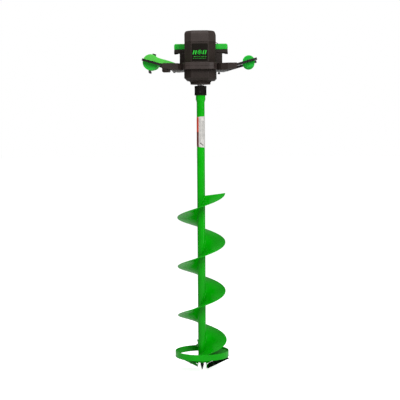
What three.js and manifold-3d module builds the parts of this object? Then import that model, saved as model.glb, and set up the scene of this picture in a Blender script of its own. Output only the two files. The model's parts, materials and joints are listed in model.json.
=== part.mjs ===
// Battery ice fishing auger: a two-handled powerhead with a motor and a two-stage gearbox,
// and the screw drill that it turns. Millimetres, +Z up, the front faces -Y.
// The origin is the drill's point, on the drill's axis.

import * as THREE from "three";
import { mergeVertices } from "three/addons/utils/BufferGeometryUtils.js";
import Module from "manifold-3d";

const wasm = await Module();
wasm.setup();

// ---------------------------------------------------------------- driving dimensions

const GAP = 0.3; // kept between pieces that touch
const TURN = 2 * Math.PI;

// Drill
const CUT_RADIUS = 101.6; // an 8 inch hole
const TUBE_RADIUS = 14.3; // 1 1/8 inch tube
const SHAFT_RADIUS = 11.1; // 7/8 inch output shaft
const PITCH = 177.8; // 7 inch rise in each turn
const FLIGHT_RADIUS = 87;
const FLIGHT_THICKNESS = 2.5;
const FLIGHT_TOP = 644;
const FLIGHT_TURNS = 3.5;
const FLIGHT_INNER = TUBE_RADIUS + 2 * GAP;
const RING_OUTER = 97;
const RING_INNER = 94;
const RING_BOTTOM = 50;
const RING_TOP = 72;
const TUBE_BOTTOM = 27;
const TUBE_TOP = 1019;
const SOCKET_BOTTOM = 974; // the wider sleeve on top of the tube
const SOCKET_RADIUS = 17.2;
const COLLAR_BOTTOM = 996;
const COLLAR_TOP = 1030;
const COLLAR_RADIUS = 21.7;
const DRIVE_PIN_Z = 1008;

// Blades: a plate in a sloping plane, low at the inner end and at the cutting edge
const EDGE_LOW = 7; // height of the cutting edge's inner end
const EDGE_INNER_X = 20;
const EDGE_Y = -22; // the cutting edge runs ahead of the radius
const RISE_OUT = 0.48; // height gained along the edge
const RAKE = 0.65; // height gained from the edge back to the flight
const BLADE_THICKNESS = 3;

// Gears: output pair and motor pair share one centre distance
const GEAR_CENTRES = 37.5;
const OUTPUT_TEETH = 38;
const COUNTER_PINION_TEETH = 12;
const COUNTER_GEAR_TEETH = 48;
const MOTOR_PINION_TEETH = 12;
const OUTPUT_MODULE = 1.5;
const MOTOR_MODULE = 1.25;
const OUTPUT_GEAR_BOTTOM = 1065;
const MOTOR_GEAR_BOTTOM = 1080;

// Powerhead levels
const NOSE_BOTTOM = 1035;
const GEARBOX_BOTTOM = 1049;
const GEARBOX_TOP = 1093;
const FRAME_BOTTOM = 1086.5;
const FRAME_TOP = 1110;
const TOWER_BOTTOM = 1097.6;
const TOWER_TOP = 1183.5;
const CAP_TOP = 1224;
const DECK_TOP = 1150.5;
const WALL = 3;

// Handles
const GRIP_X = 173;
const GRIP_Z = 1111.8;
const BAR_ABOVE_GRIP = 0.8;
const BAR_SLOPE = 0.284; // the bars rise outwards
const BAR_TILT = Math.atan(BAR_SLOPE);
const FRONT_BAR_INNER_X = 99;
const REAR_BAR_INNER_X = 80;
const BAR_OUTER_X = 201.6;
const BAR_THICKNESS = 8;
const BAR_WIDTH = 20;
const BAR_Y = 85;
const GRIP_HALF = BAR_Y - BAR_WIDTH / 2 - GAP;
const GRIP_CORE_RADIUS = 11;
const GRIP_CORE_HALF = GRIP_HALF - 4; // the grips and the throttle close over the core's ends
const GRIP_BOLT_RADIUS = 2;
const SHOULDER_INNER_X = 62.4;
const SHOULDER_OUTER_X = 132;
const SHOULDER_BOTTOM = 1083.5;
const SHOULDER_SLOPE_X = 92; // the underside rises outwards from here
const SHOULDER_SLOPE = 0.14;
const SHOULDER_TOP = 1107;
const REAR_ARM_X = 98;
const REAR_ARM_BOTTOM = 1086;
const BRACE_Y = -26;
const BRACE_BOLTS = { left: [-92, 1076], right: [67, 1070] }; // x and the head's underside
const SHOULDER_FRONT = 98;
const THROTTLE_RADIUS = 28;
const THROTTLE_REAR = -24;

// ---------------------------------------------------------------- materials

function paint(colour, roughness, metalness) {
  return new THREE.MeshStandardMaterial({ color: colour, roughness, metalness });
}
const green = paint(0x0aa414, 0.35, 0.1);
const greenPlastic = paint(0x27b53a, 0.5, 0);
const blackPlastic = paint(0x2b2624, 0.6, 0);
const capPlastic = paint(0x443c3a, 0.55, 0);
const blackSteel = paint(0x161412, 0.45, 0.6);
const zinc = paint(0xb9b6b2, 0.35, 0.9);
const steel = paint(0x8f8d8a, 0.3, 0.95);
const copper = paint(0x9a5a30, 0.4, 0.8);
const rubber = paint(0x141414, 0.85, 0);
const labelPaper = paint(0xe8e4df, 0.6, 0);

// ---------------------------------------------------------------- helpers

function solidOf(geometry) {
  const loose = geometry.index ? geometry.toNonIndexed() : geometry;
  const bare = new THREE.BufferGeometry();
  bare.setAttribute("position", loose.getAttribute("position"));
  const merged = mergeVertices(bare, 1e-3);
  const mesh = new wasm.Mesh({
    numProp: 3,
    vertProperties: merged.attributes.position.array,
    triVerts: new Uint32Array(merged.index.array),
  });
  return new wasm.Manifold(mesh);
}

function geometryOf(solid) {
  const { vertProperties, triVerts } = solid.getMesh();
  const geometry = new THREE.BufferGeometry();
  geometry.setAttribute("position", new THREE.BufferAttribute(vertProperties, 3));
  return geometry.setIndex(new THREE.BufferAttribute(triVerts, 1));
}

const cut = (base, ...tools) =>
  geometryOf(tools.reduce((left, tool) => left.subtract(solidOf(tool)), solidOf(base)));

const join = (...pieces) =>
  geometryOf(pieces.map(solidOf).reduce((whole, piece) => whole.add(piece)));

// A round solid about Z from [radius, z] points, anticlockwise with the radius to the right.
function turned(profile, segments = 24) {
  const points = profile.map(([radius, z]) => new THREE.Vector2(radius, z));
  return new THREE.LatheGeometry(points, segments).rotateX(Math.PI / 2);
}

function rod(radius, bottom, top, segments = 24) {
  return turned([[0, bottom], [radius, bottom], [radius, top], [0, top]], segments);
}

function tube(inner, outer, bottom, top, segments = 24) {
  const profile = [[inner, bottom], [outer, bottom], [outer, top], [inner, top], [inner, bottom]];
  return turned(profile, segments);
}

// Turns a solid that was made about Z so that it lies along Y, its top towards the back.
const alongY = (geometry) => geometry.rotateX(-Math.PI / 2);

// A solid that was made about Z, laid along X, its top towards +X.
const alongX = (geometry) => geometry.rotateY(Math.PI / 2);

function shapeOf(points) {
  return new THREE.Shape(points.map(([x, y]) => new THREE.Vector2(x, y)));
}

// A plan outline of [x, y] points, raised from bottom to top.
function prism(points, bottom, top) {
  const settings = { depth: top - bottom, bevelEnabled: false };
  return new THREE.ExtrudeGeometry(shapeOf(points), settings).translate(0, 0, bottom);
}

// A front outline of [x, z] points, running from y = front to y = back.
function slab(points, front, back) {
  return prism(points, -back, -front).rotateX(Math.PI / 2);
}

// A side outline of [y, z] points, running from x = left to x = right.
function sideSlab(points, left, right) {
  return prism(points, left, right).rotateY(Math.PI / 2).rotateX(Math.PI / 2);
}

function box(left, right, front, back, bottom, top) {
  const geometry = new THREE.BoxGeometry(right - left, back - front, top - bottom);
  return geometry.translate((left + right) / 2, (front + back) / 2, (bottom + top) / 2);
}

const mirrored = (points) => points.map(([x, y]) => [-x, y]).reverse();

// An outline that is the same on both sides, from its right half given front to back.
const bothSides = (half) => [...half, ...mirrored(half)];

function smooth(from, to, value) {
  const share = THREE.MathUtils.clamp((value - from) / (to - from), 0, 1);
  return share * share * (3 - 2 * share);
}

const powerhead = new THREE.Group();

function add(group, name, material, geometry) {
  const mesh = new THREE.Mesh(geometry, material);
  mesh.name = name;
  group.add(mesh);
  return mesh;
}

// ---------------------------------------------------------------- drill

const drill = new THREE.Group();

function buildTube() {
  const pinHole = alongY(rod(4.2, -30, 30, 12)).translate(0, 0, DRIVE_PIN_Z);
  const bore = SHAFT_RADIUS + GAP;
  const tubeProfile = [
    [bore, TUBE_BOTTOM], [TUBE_RADIUS, TUBE_BOTTOM], [TUBE_RADIUS, SOCKET_BOTTOM],
    [SOCKET_RADIUS, SOCKET_BOTTOM + 6], [SOCKET_RADIUS, TUBE_TOP], [bore, TUBE_TOP],
    [bore, TUBE_BOTTOM],
  ];
  add(drill, "auger_tube", green, cut(turned(tubeProfile), pinHole));

  const collarInner = SOCKET_RADIUS + GAP;
  const lipInner = SHAFT_RADIUS + 0.4;
  const collarProfile = [
    [collarInner, COLLAR_BOTTOM], [COLLAR_RADIUS - 1.5, COLLAR_BOTTOM],
    [COLLAR_RADIUS, COLLAR_BOTTOM + 1.5], [COLLAR_RADIUS, COLLAR_TOP - 2],
    [COLLAR_RADIUS - 2, COLLAR_TOP], [lipInner, COLLAR_TOP],
    [lipInner, TUBE_TOP + GAP], [collarInner, TUBE_TOP + GAP],
    [collarInner, COLLAR_BOTTOM],
  ];
  add(drill, "coupling_collar", rubber, cut(turned(collarProfile, 32), pinHole));

  const pin = alongY(rod(3.9, -21.4, 21.4, 12)).translate(0, 0, DRIVE_PIN_Z);
  add(drill, "drive_pin", blackSteel, pin);
}

// Splits the squares of a box's underside along the same diagonals as those of its top, so that a
// plate keeps its thickness when it is twisted.
function matchDiagonals(plate) {
  const { index } = plate;
  const { start, count } = plate.groups[3];
  for (let i = start; i < start + count; i += 6) {
    const [a, b, c, d] = [i, i + 1, i + 4, i + 2].map((at) => index.getX(at));
    [a, b, c, a, c, d].forEach((vertex, n) => index.setX(i + n, vertex));
  }
}

// A spiral plate, as a long box wound round the tube from its top end down.
// along runs in turns from the top of the whole flight. The top end is cut aslant by topSlant turns,
// and the end lines rise outwards to meet a blade.
function flightPlate({ topZ, topAngle, from, to, outer, end, topSlant }) {
  const steps = Math.ceil((to - from) * 24);
  const plate = new THREE.BoxGeometry(1, FLIGHT_THICKNESS, to - from, 1, 1, steps);
  matchDiagonals(plate);
  const place = plate.getAttribute("position");
  for (let i = 0; i < place.count; i++) {
    const across = place.getX(i) + 0.5;
    const straight = place.getZ(i) + (from + to) / 2;
    const along = straight + topSlant * (1 - across) * (1 - smooth(0, 0.25, straight));
    const angle = topAngle - TURN * along;
    const radius = THREE.MathUtils.lerp(FLIGHT_INNER, outer(along), across);
    const lift = smooth(end - 0.25, end, along) * (radius - FLIGHT_INNER) * 0.5;
    const z = topZ - PITCH * along + lift + place.getY(i);
    place.setXYZ(i, radius * Math.cos(angle), radius * Math.sin(angle), z);
  }
  return plate;
}

const RING_REACH = RING_INNER - 0.5;

function buildFlights() {
  const seam = 0.0012; // turns left open where two pressed sections are welded end to end
  const outer = (along) => FLIGHT_RADIUS + (RING_REACH - FLIGHT_RADIUS) * smooth(2.75, 3.25, along);
  for (let n = 0; n < FLIGHT_TURNS; n++) {
    const to = Math.min(n + 1, FLIGHT_TURNS);
    const plate = flightPlate({
      topZ: FLIGHT_TOP, topAngle: 0, from: n + seam, to: to - seam, outer, end: FLIGHT_TURNS,
      topSlant: 0.05,
    });
    add(drill, `flight_section_${n + 1}`, green, plate);
  }
  // The second, half-turn flight widens from the tube to the ring.
  const widening = (along) =>
    FLIGHT_INNER + 3 + (RING_REACH - FLIGHT_INNER - 3) * smooth(0.08, 0.27, along);
  const lower = flightPlate({
    topZ: FLIGHT_TOP - PITCH * (FLIGHT_TURNS - 0.5), topAngle: Math.PI,
    from: 0.015, to: 0.5 - seam, outer: widening, end: 0.5, topSlant: 0,
  });
  add(drill, "lower_flight", green, lower);
  add(drill, "cutter_ring", green, tube(RING_INNER, RING_OUTER, RING_BOTTOM, RING_TOP, 48));
}

// Tips a flat plate at height z = 0 into the blade plane.
function intoBladePlane(geometry, above) {
  const base = EDGE_LOW + above - RISE_OUT * EDGE_INNER_X - RAKE * EDGE_Y;
  const shear = new THREE.Matrix4().set(1, 0, 0, 0, 0, 1, 0, 0, RISE_OUT, RAKE, 1, base, 0, 0, 0, 1);
  return geometry.applyMatrix4(shear);
}

const BLADE_SCREWS = [[42, -8], [72, -8]];

function buildCutter(side, angle) {
  const cutter = new THREE.Group();
  cutter.rotation.z = angle;
  drill.add(cutter);
  const holes = (radius) =>
    BLADE_SCREWS.map(([x, y]) => rod(radius, -20, 20, 12).translate(x, y, 0));

  const tipX = Math.sqrt(CUT_RADIUS ** 2 - EDGE_Y ** 2);
  const bladeOutline = [
    [EDGE_INNER_X, EDGE_Y], [tipX, EDGE_Y], [94, -17.5], [90, -10], [88, -2], [22, -2],
  ];
  const plate = prism(bladeOutline, 0, BLADE_THICKNESS);
  // The bevel takes the plate's top down to a cutting edge.
  const bevelSection = [
    [EDGE_Y - 1, 0.4], [EDGE_Y + 5, BLADE_THICKNESS + 0.6], [EDGE_Y - 1, BLADE_THICKNESS + 0.6],
  ];
  const bevel = sideSlab(bevelSection, 0, 120);
  add(cutter, `blade_${side}`, blackSteel, intoBladePlane(cut(plate, bevel, ...holes(3.3)), 0));

  // The blade lies on top of its mount and is held from above.
  const mountThickness = 4;
  const mountOutline = [[16, -13], [86, -13], [89, -0.5], [16, -0.5]];
  const mount = cut(prism(mountOutline, 0, mountThickness), ...holes(3.3));
  add(cutter, `blade_mount_${side}`, green, intoBladePlane(mount, -mountThickness - GAP));

  BLADE_SCREWS.forEach(([x, y], n) => {
    const profile = [
      [0, -6.5], [3, -6.5], [3, BLADE_THICKNESS + GAP], [5.2, BLADE_THICKNESS + GAP],
      [5.2, 4.2], [3.6, 5.8], [0, 5.8],
    ];
    const screw = turned(profile, 12).translate(x, y, 0);
    add(cutter, `blade_screw_${side}_${n + 1}`, blackSteel, intoBladePlane(screw, 0));
  });
}

function buildPoint() {
  const plugRadius = SHAFT_RADIUS - 0.1;
  const profile = [
    [0, 0], [1.6, 1], [6, 17], [6, TUBE_BOTTOM + 4], [plugRadius, TUBE_BOTTOM + 8],
    [plugRadius, TUBE_BOTTOM + 40], [0, TUBE_BOTTOM + 40],
  ];
  add(drill, "center_point", blackSteel, turned(profile, 16));
}

function buildLabel() {
  const inner = TUBE_RADIUS + GAP;
  const label = new THREE.Shape();
  const [start, end] = [-2.9, 0.5];
  label.absarc(0, 0, inner + 0.4, start, end, false);
  label.absarc(0, 0, inner, end, start, true);
  const settings = { depth: 114, bevelEnabled: false, curveSegments: 14 };
  const sleeve = new THREE.ExtrudeGeometry(label, settings).translate(0, 0, 808);
  add(drill, "tube_label", labelPaper, sleeve);
}

// ---------------------------------------------------------------- gears

// An involute spur gear with a tooth centred on angle toothAt. shift moves the teeth outwards.
function gear({ teeth, module, shift, bore, toothAt, bottom, width }) {
  const pressure = THREE.MathUtils.degToRad(20);
  const involute = (angle) => Math.tan(angle) - angle;
  const pitchRadius = (teeth * module) / 2;
  const baseRadius = pitchRadius * Math.cos(pressure);
  const tipRadius = pitchRadius + module * (0.95 + shift);
  const rootRadius = pitchRadius - module * (1.25 - shift);
  const backlash = 0.14;
  const thickness = module * (Math.PI / 2 + 2 * shift * Math.tan(pressure)) - backlash;
  const halfAngle = (radius) => {
    const at = Math.acos(Math.min(1, baseRadius / Math.max(radius, baseRadius)));
    return thickness / (2 * pitchRadius) + involute(pressure) - involute(at);
  };
  const start = Math.max(rootRadius + 0.1, baseRadius);
  const radii = [rootRadius, start, (start + tipRadius) / 2, tipRadius];
  const outline = [];
  for (let n = 0; n < teeth; n++) {
    const centre = toothAt + (TURN * n) / teeth;
    const flank = (side) => (radius) => {
      const angle = centre + side * halfAngle(radius);
      return [radius * Math.cos(angle), radius * Math.sin(angle)];
    };
    outline.push(...radii.map(flank(-1)), ...radii.toReversed().map(flank(1)));
  }
  const shape = shapeOf(outline);
  shape.holes.push(new THREE.Path().absarc(0, 0, bore, 0, TURN, true));
  const settings = { depth: width, bevelEnabled: false, curveSegments: 10 };
  return new THREE.ExtrudeGeometry(shape, settings).translate(0, 0, bottom);
}

const PINION_SHIFT = 0.3;
const COUNTER_SHAFT_RADIUS = 5;
const COUNTER_SHAFT_BOTTOM = 1056;
const BEARING_TOP = 1056;
const MOTOR_SHAFT_RADIUS = 4;

function buildOutput() {
  const pinHole = alongY(rod(4.2, -30, 30, 12)).translate(0, 0, DRIVE_PIN_Z);
  const shaft = rod(SHAFT_RADIUS, 952, 1077.5);
  add(drill, "output_shaft", steel, cut(shaft, pinHole));
  const wheel = gear({
    teeth: OUTPUT_TEETH, module: OUTPUT_MODULE, shift: -PINION_SHIFT, bore: SHAFT_RADIUS + GAP,
    toothAt: Math.PI / 2, bottom: OUTPUT_GEAR_BOTTOM, width: 12,
  });
  add(drill, "output_gear", steel, wheel);
}

function buildCounterShaft() {
  const counter = new THREE.Group();
  counter.position.y = GEAR_CENTRES;
  powerhead.add(counter);
  const pinion = gear({
    teeth: COUNTER_PINION_TEETH, module: OUTPUT_MODULE, shift: PINION_SHIFT,
    bore: COUNTER_SHAFT_RADIUS - 1, toothAt: -Math.PI / 2 + Math.PI / COUNTER_PINION_TEETH,
    bottom: OUTPUT_GEAR_BOTTOM, width: 12.5,
  });
  const shaftRod = rod(COUNTER_SHAFT_RADIUS, COUNTER_SHAFT_BOTTOM, 1092.6, 16);
  add(counter, "counter_shaft", steel, join(shaftRod, pinion));
  const wheel = gear({
    teeth: COUNTER_GEAR_TEETH, module: MOTOR_MODULE, shift: -PINION_SHIFT,
    bore: COUNTER_SHAFT_RADIUS + GAP, toothAt: -Math.PI / 2 + Math.PI / COUNTER_GEAR_TEETH,
    bottom: MOTOR_GEAR_BOTTOM, width: 8,
  });
  add(counter, "counter_gear", steel, wheel);
}

function buildMotor() {
  const pinion = gear({
    teeth: MOTOR_PINION_TEETH, module: MOTOR_MODULE, shift: PINION_SHIFT,
    bore: MOTOR_SHAFT_RADIUS - 1, toothAt: Math.PI / 2, bottom: MOTOR_GEAR_BOTTOM, width: 8,
  });
  const shaftRod = rod(MOTOR_SHAFT_RADIUS, 1079, 1158, 16);
  add(powerhead, "motor_shaft", steel, join(shaftRod, pinion));
  const rotor = tube(MOTOR_SHAFT_RADIUS + GAP, 20, 1108, 1152, 20);
  add(powerhead, "motor_rotor", copper, rotor);
  const canProfile = [
    [22, 1101], [38, 1101], [38, 1162], [22, 1162], [22, 1101],
  ];
  add(powerhead, "motor_can", blackSteel, turned(canProfile, 28));
  const plate = prism(towerOutline(WALL + GAP), GEARBOX_TOP + GAP, GEARBOX_TOP + 4);
  add(powerhead, "motor_plate", steel, cut(plate, rod(14, 1090, 1100)));
}

// ---------------------------------------------------------------- powerhead casings

// The tower's plan, an octagon with a flat front, taken in by inset all round.
function towerOutline(inset) {
  return bothSides([
    [31 - 0.4 * inset, -62 + inset], [55 - inset, -38 + 0.4 * inset],
    [55 - inset, 37 - 0.4 * inset], [47 - 0.4 * inset, 45 - inset],
  ]);
}

function gearboxOutline(inset) {
  return bothSides([
    [32 - 0.4 * inset, -60 + inset], [56.5 - inset, -36 + 0.4 * inset],
    [56.5 - inset, 62 - 0.4 * inset], [42 - 0.4 * inset, 76 - inset],
  ]);
}

function buildGearbox() {
  const noseProfile = [
    [20.3, NOSE_BOTTOM + 5], [14.2, NOSE_BOTTOM + 5], [14.2, NOSE_BOTTOM], [36, NOSE_BOTTOM],
    [36, NOSE_BOTTOM + 6], [33, NOSE_BOTTOM + 7.5], [44, GEARBOX_BOTTOM - GAP],
    [20.3, GEARBOX_BOTTOM - GAP], [20.3, NOSE_BOTTOM + 5],
  ];
  add(powerhead, "gearbox_nose", blackPlastic, turned(noseProfile, 24));
  const bearing = tube(SHAFT_RADIUS + GAP, 20, NOSE_BOTTOM + 6, BEARING_TOP);
  add(powerhead, "output_bearing", steel, bearing);

  const floor = OUTPUT_GEAR_BOTTOM - 1;
  const shell = prism(gearboxOutline(0), GEARBOX_BOTTOM + 6, GEARBOX_TOP);
  const foot = prism(gearboxOutline(7), GEARBOX_BOTTOM, GEARBOX_BOTTOM + 6.5);
  const cavity = prism(gearboxOutline(5), floor, GEARBOX_TOP + 1);
  const bore = rod(14, GEARBOX_BOTTOM - 1, floor + 1);
  const seat = rod(20.3, GEARBOX_BOTTOM - 1, BEARING_TOP + GAP);
  const counterBearing = rod(COUNTER_SHAFT_RADIUS + GAP, COUNTER_SHAFT_BOTTOM - GAP, floor + 1, 16);
  add(powerhead, "gearbox_housing", blackPlastic,
    cut(join(shell, foot), cavity, bore, seat, counterBearing.translate(0, GEAR_CENTRES, 0)));
}

function buildFrame() {
  const outer = bothSides([[34, -80], [50, -76], [62, -58], [62, 70], [50, 82]]);
  const inner = bothSides([[32.4, -62.8], [57, -38], [57, 63], [43, 77]]);
  const ring = prism(outer, FRAME_BOTTOM, FRAME_TOP);
  const hole = prism(inner, FRAME_BOTTOM - 1, FRAME_TOP + 1);
  add(powerhead, "waist_frame", capPlastic, cut(ring, hole));
}

function buildTower() {
  const shell = prism(towerOutline(0), TOWER_BOTTOM, TOWER_TOP);
  const inside = prism(towerOutline(WALL), TOWER_BOTTOM - 1, TOWER_TOP + 1);
  const panelSeat = box(-28.5, 28.5, -63, -60.4, 1114, 1177);
  add(powerhead, "motor_cover", blackPlastic, cut(shell, inside, panelSeat));
  add(powerhead, "badge_panel", blackPlastic, box(-28, 28, -62, -60.7, 1114.5, 1176.5));

  const cap = prism(towerOutline(0), TOWER_TOP + GAP, CAP_TOP - 6);
  const crown = prism(towerOutline(5), CAP_TOP - 6.01, CAP_TOP);
  const hollow = prism(towerOutline(WALL), TOWER_TOP - 1, CAP_TOP - 10);
  add(powerhead, "top_cap", capPlastic, cut(join(cap, crown), hollow));
}

// ---------------------------------------------------------------- battery and its bay

const SIDES = [["left", -1], ["right", 1]];
const BATTERY_FRONT = 47;
const BATTERY_BACK = 95;

function buildBatteryBay() {
  const block = box(-77, 77, 46, 96, FRAME_TOP + GAP, DECK_TOP);
  const bay = box(-51, 51, 50, 91, 1117, DECK_TOP + 1);
  const terminals = box(-20, 20, 60, 80, 1116, 1121);
  const feet = SIDES.map(([, side]) =>
    box(side * 70 - 7, side * 70 + 7, 50, 80, SHOULDER_TOP + GAP, FRAME_TOP + 1));
  add(powerhead, "rear_housing", blackPlastic, join(cut(block, bay), terminals, ...feet));
}

function buildBattery() {
  const [front, back] = [BATTERY_FRONT, BATTERY_BACK];
  const seam = 1163;
  const rim = box(-97, 97, front, back, DECK_TOP + 0.7, seam);
  const well = box(-50, 50, 51, 90, 1122, DECK_TOP + 1);
  const notches = SIDES.map(([, side]) =>
    box(side * 89.7 - 9.2, side * 89.7 + 9.2, 53, back - 6, DECK_TOP, 1158));
  add(powerhead, "battery_lower_case", blackPlastic, cut(join(rim, well), ...notches));
  const upperOutline = bothSides([[97, seam + GAP], [97, 1180], [93, 1184]]);
  add(powerhead, "battery_upper_case", greenPlastic, slab(upperOutline, front, back));
  for (const [name, side] of SIDES) {
    const paddle = slab([[-6.5, 1149.5], [6.5, 1148], [6.5, 1157.7], [-6.5, 1157.7]], 54, back - 7);
    if (side < 0) paddle.rotateZ(Math.PI).translate(0, 54 + back - 7, 0);
    add(powerhead, `battery_latch_${name}`, rubber, paddle.translate(side * 91, 0, 0));
  }
}

// ---------------------------------------------------------------- handles

const barHeight = (x) => GRIP_Z + BAR_ABOVE_GRIP + BAR_SLOPE * (x - GRIP_X);

function barSolid(side, y, margin) {
  const inner = y < 0 ? FRONT_BAR_INNER_X : REAR_BAR_INNER_X;
  const middle = (inner + BAR_OUTER_X) / 2;
  const length = (BAR_OUTER_X - inner) / Math.cos(BAR_TILT);
  const width = BAR_WIDTH + 2 * margin;
  const bar = new THREE.BoxGeometry(length + 2 * margin, width, BAR_THICKNESS + 2 * margin);
  return bar.rotateY(-side * BAR_TILT).translate(side * middle, y, barHeight(middle));
}

function buildBars() {
  for (const [name, side] of SIDES) {
    for (const [place, y] of [["front", -BAR_Y], ["rear", BAR_Y]]) {
      const hole = alongY(rod(GRIP_BOLT_RADIUS + GAP, -120, 120, 12)).translate(side * GRIP_X, 0, GRIP_Z);
      add(powerhead, `${place}_bar_${name}`, blackSteel, cut(barSolid(side, y, 0), hole));
    }
  }
}

function buildShoulders() {
  // The front arm reaches further out than the rear one, whose bar lies in an open groove.
  const plan = [
    [SHOULDER_INNER_X, -56], [76, -84], [100, -SHOULDER_FRONT], [SHOULDER_OUTER_X, -SHOULDER_FRONT],
    [SHOULDER_OUTER_X, -70], [114, -62], [104, -44], [REAR_ARM_X, 44], [REAR_ARM_X, SHOULDER_FRONT],
    [90, SHOULDER_FRONT], [76, 84], [SHOULDER_INNER_X, 56],
  ];
  const under = (x) => SHOULDER_BOTTOM + SHOULDER_SLOPE * (x - SHOULDER_SLOPE_X);
  const below = [
    [SHOULDER_SLOPE_X, SHOULDER_BOTTOM], [SHOULDER_SLOPE_X, 1060], [160, 1060], [160, under(160)],
  ];
  for (const [name, side] of SIDES) {
    const outline = side > 0 ? plan : mirrored(plan);
    const wedge = side > 0 ? below : mirrored(below);
    const [boltX] = BRACE_BOLTS[name];
    const boltHole = rod(3.3, 1080, 1095, 12).translate(boltX, BRACE_Y, 0);
    const slots = [-BAR_Y, BAR_Y].map((y) => barSolid(side, y, GAP));
    add(powerhead, `shoulder_${name}`, blackPlastic, cut(
      prism(outline, SHOULDER_BOTTOM, SHOULDER_TOP), slab(wedge, -120, 120),
      box(side * 100 - 40, side * 100 + 40, 60, 120, 1060, REAR_ARM_BOTTOM), boltHole, ...slots,
    ));
  }
}

// The steel bar inside a grip: stepped down where it passes through the arms, headed outside them.
function gripAxle() {
  const end = BAR_Y + BAR_WIDTH / 2 + GAP;
  const [head, neck, core] = [4.6, GRIP_BOLT_RADIUS, GRIP_CORE_RADIUS];
  const profile = [
    [0, -end - 5], [head, -end - 5], [head, -end], [neck, -end], [neck, -GRIP_CORE_HALF],
    [core, -GRIP_CORE_HALF], [core, GRIP_CORE_HALF], [neck, GRIP_CORE_HALF], [neck, end], [head, end],
    [head, end + 5], [0, end + 5],
  ];
  return alongY(turned(profile, 16));
}

function buildGrips() {
  for (const [name, side] of SIDES) {
    const axle = gripAxle().translate(side * GRIP_X, 0, GRIP_Z);
    add(powerhead, `grip_axle_${name}`, blackSteel, axle);
  }
  const inner = GRIP_CORE_RADIUS + GAP;
  const neck = GRIP_BOLT_RADIUS + GAP;
  const [flange, barrel] = [21.5, 17];
  const end = GRIP_HALF - GAP;
  const inside = GRIP_CORE_HALF + GAP;
  const rearEnd = [
    [barrel, end - 13], [flange, end - 7], [flange, end - 3], [flange - 3, end], [neck, end],
    [neck, inside], [inner, inside],
  ];
  const right = [
    [inner, -inside], [neck, -inside], [neck, -end], [flange - 3, -end], [flange, 3 - end],
    [flange, 7 - end], [barrel, 13 - end], ...rearEnd, [inner, -inside],
  ];
  add(powerhead, "grip_right", greenPlastic,
    alongY(turned(right, 28)).translate(GRIP_X, 0, GRIP_Z));
  const left = [
    [inner, THROTTLE_REAR + GAP], [barrel, THROTTLE_REAR + GAP], ...rearEnd,
    [inner, THROTTLE_REAR + GAP],
  ];
  add(powerhead, "grip_left", greenPlastic,
    alongY(turned(left, 28)).translate(-GRIP_X, 0, GRIP_Z));
}

// ---------------------------------------------------------------- throttle, in the left bar's own frame

function halfDisc(radius, front, back, upper) {
  const shape = new THREE.Shape().absarc(0, 0, radius, 0, Math.PI, false);
  const settings = { depth: back - front, bevelEnabled: false, curveSegments: 14 };
  const half = new THREE.ExtrudeGeometry(shape, settings);
  half.translate(0, GAP / 2, -back).rotateX(Math.PI / 2);
  return upper ? half : half.rotateY(Math.PI);
}

const TRIGGER_PIVOT = [-44, -19.5];
const BUTTON_X = 4.7;
const BUTTON_Y = -58;

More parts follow.
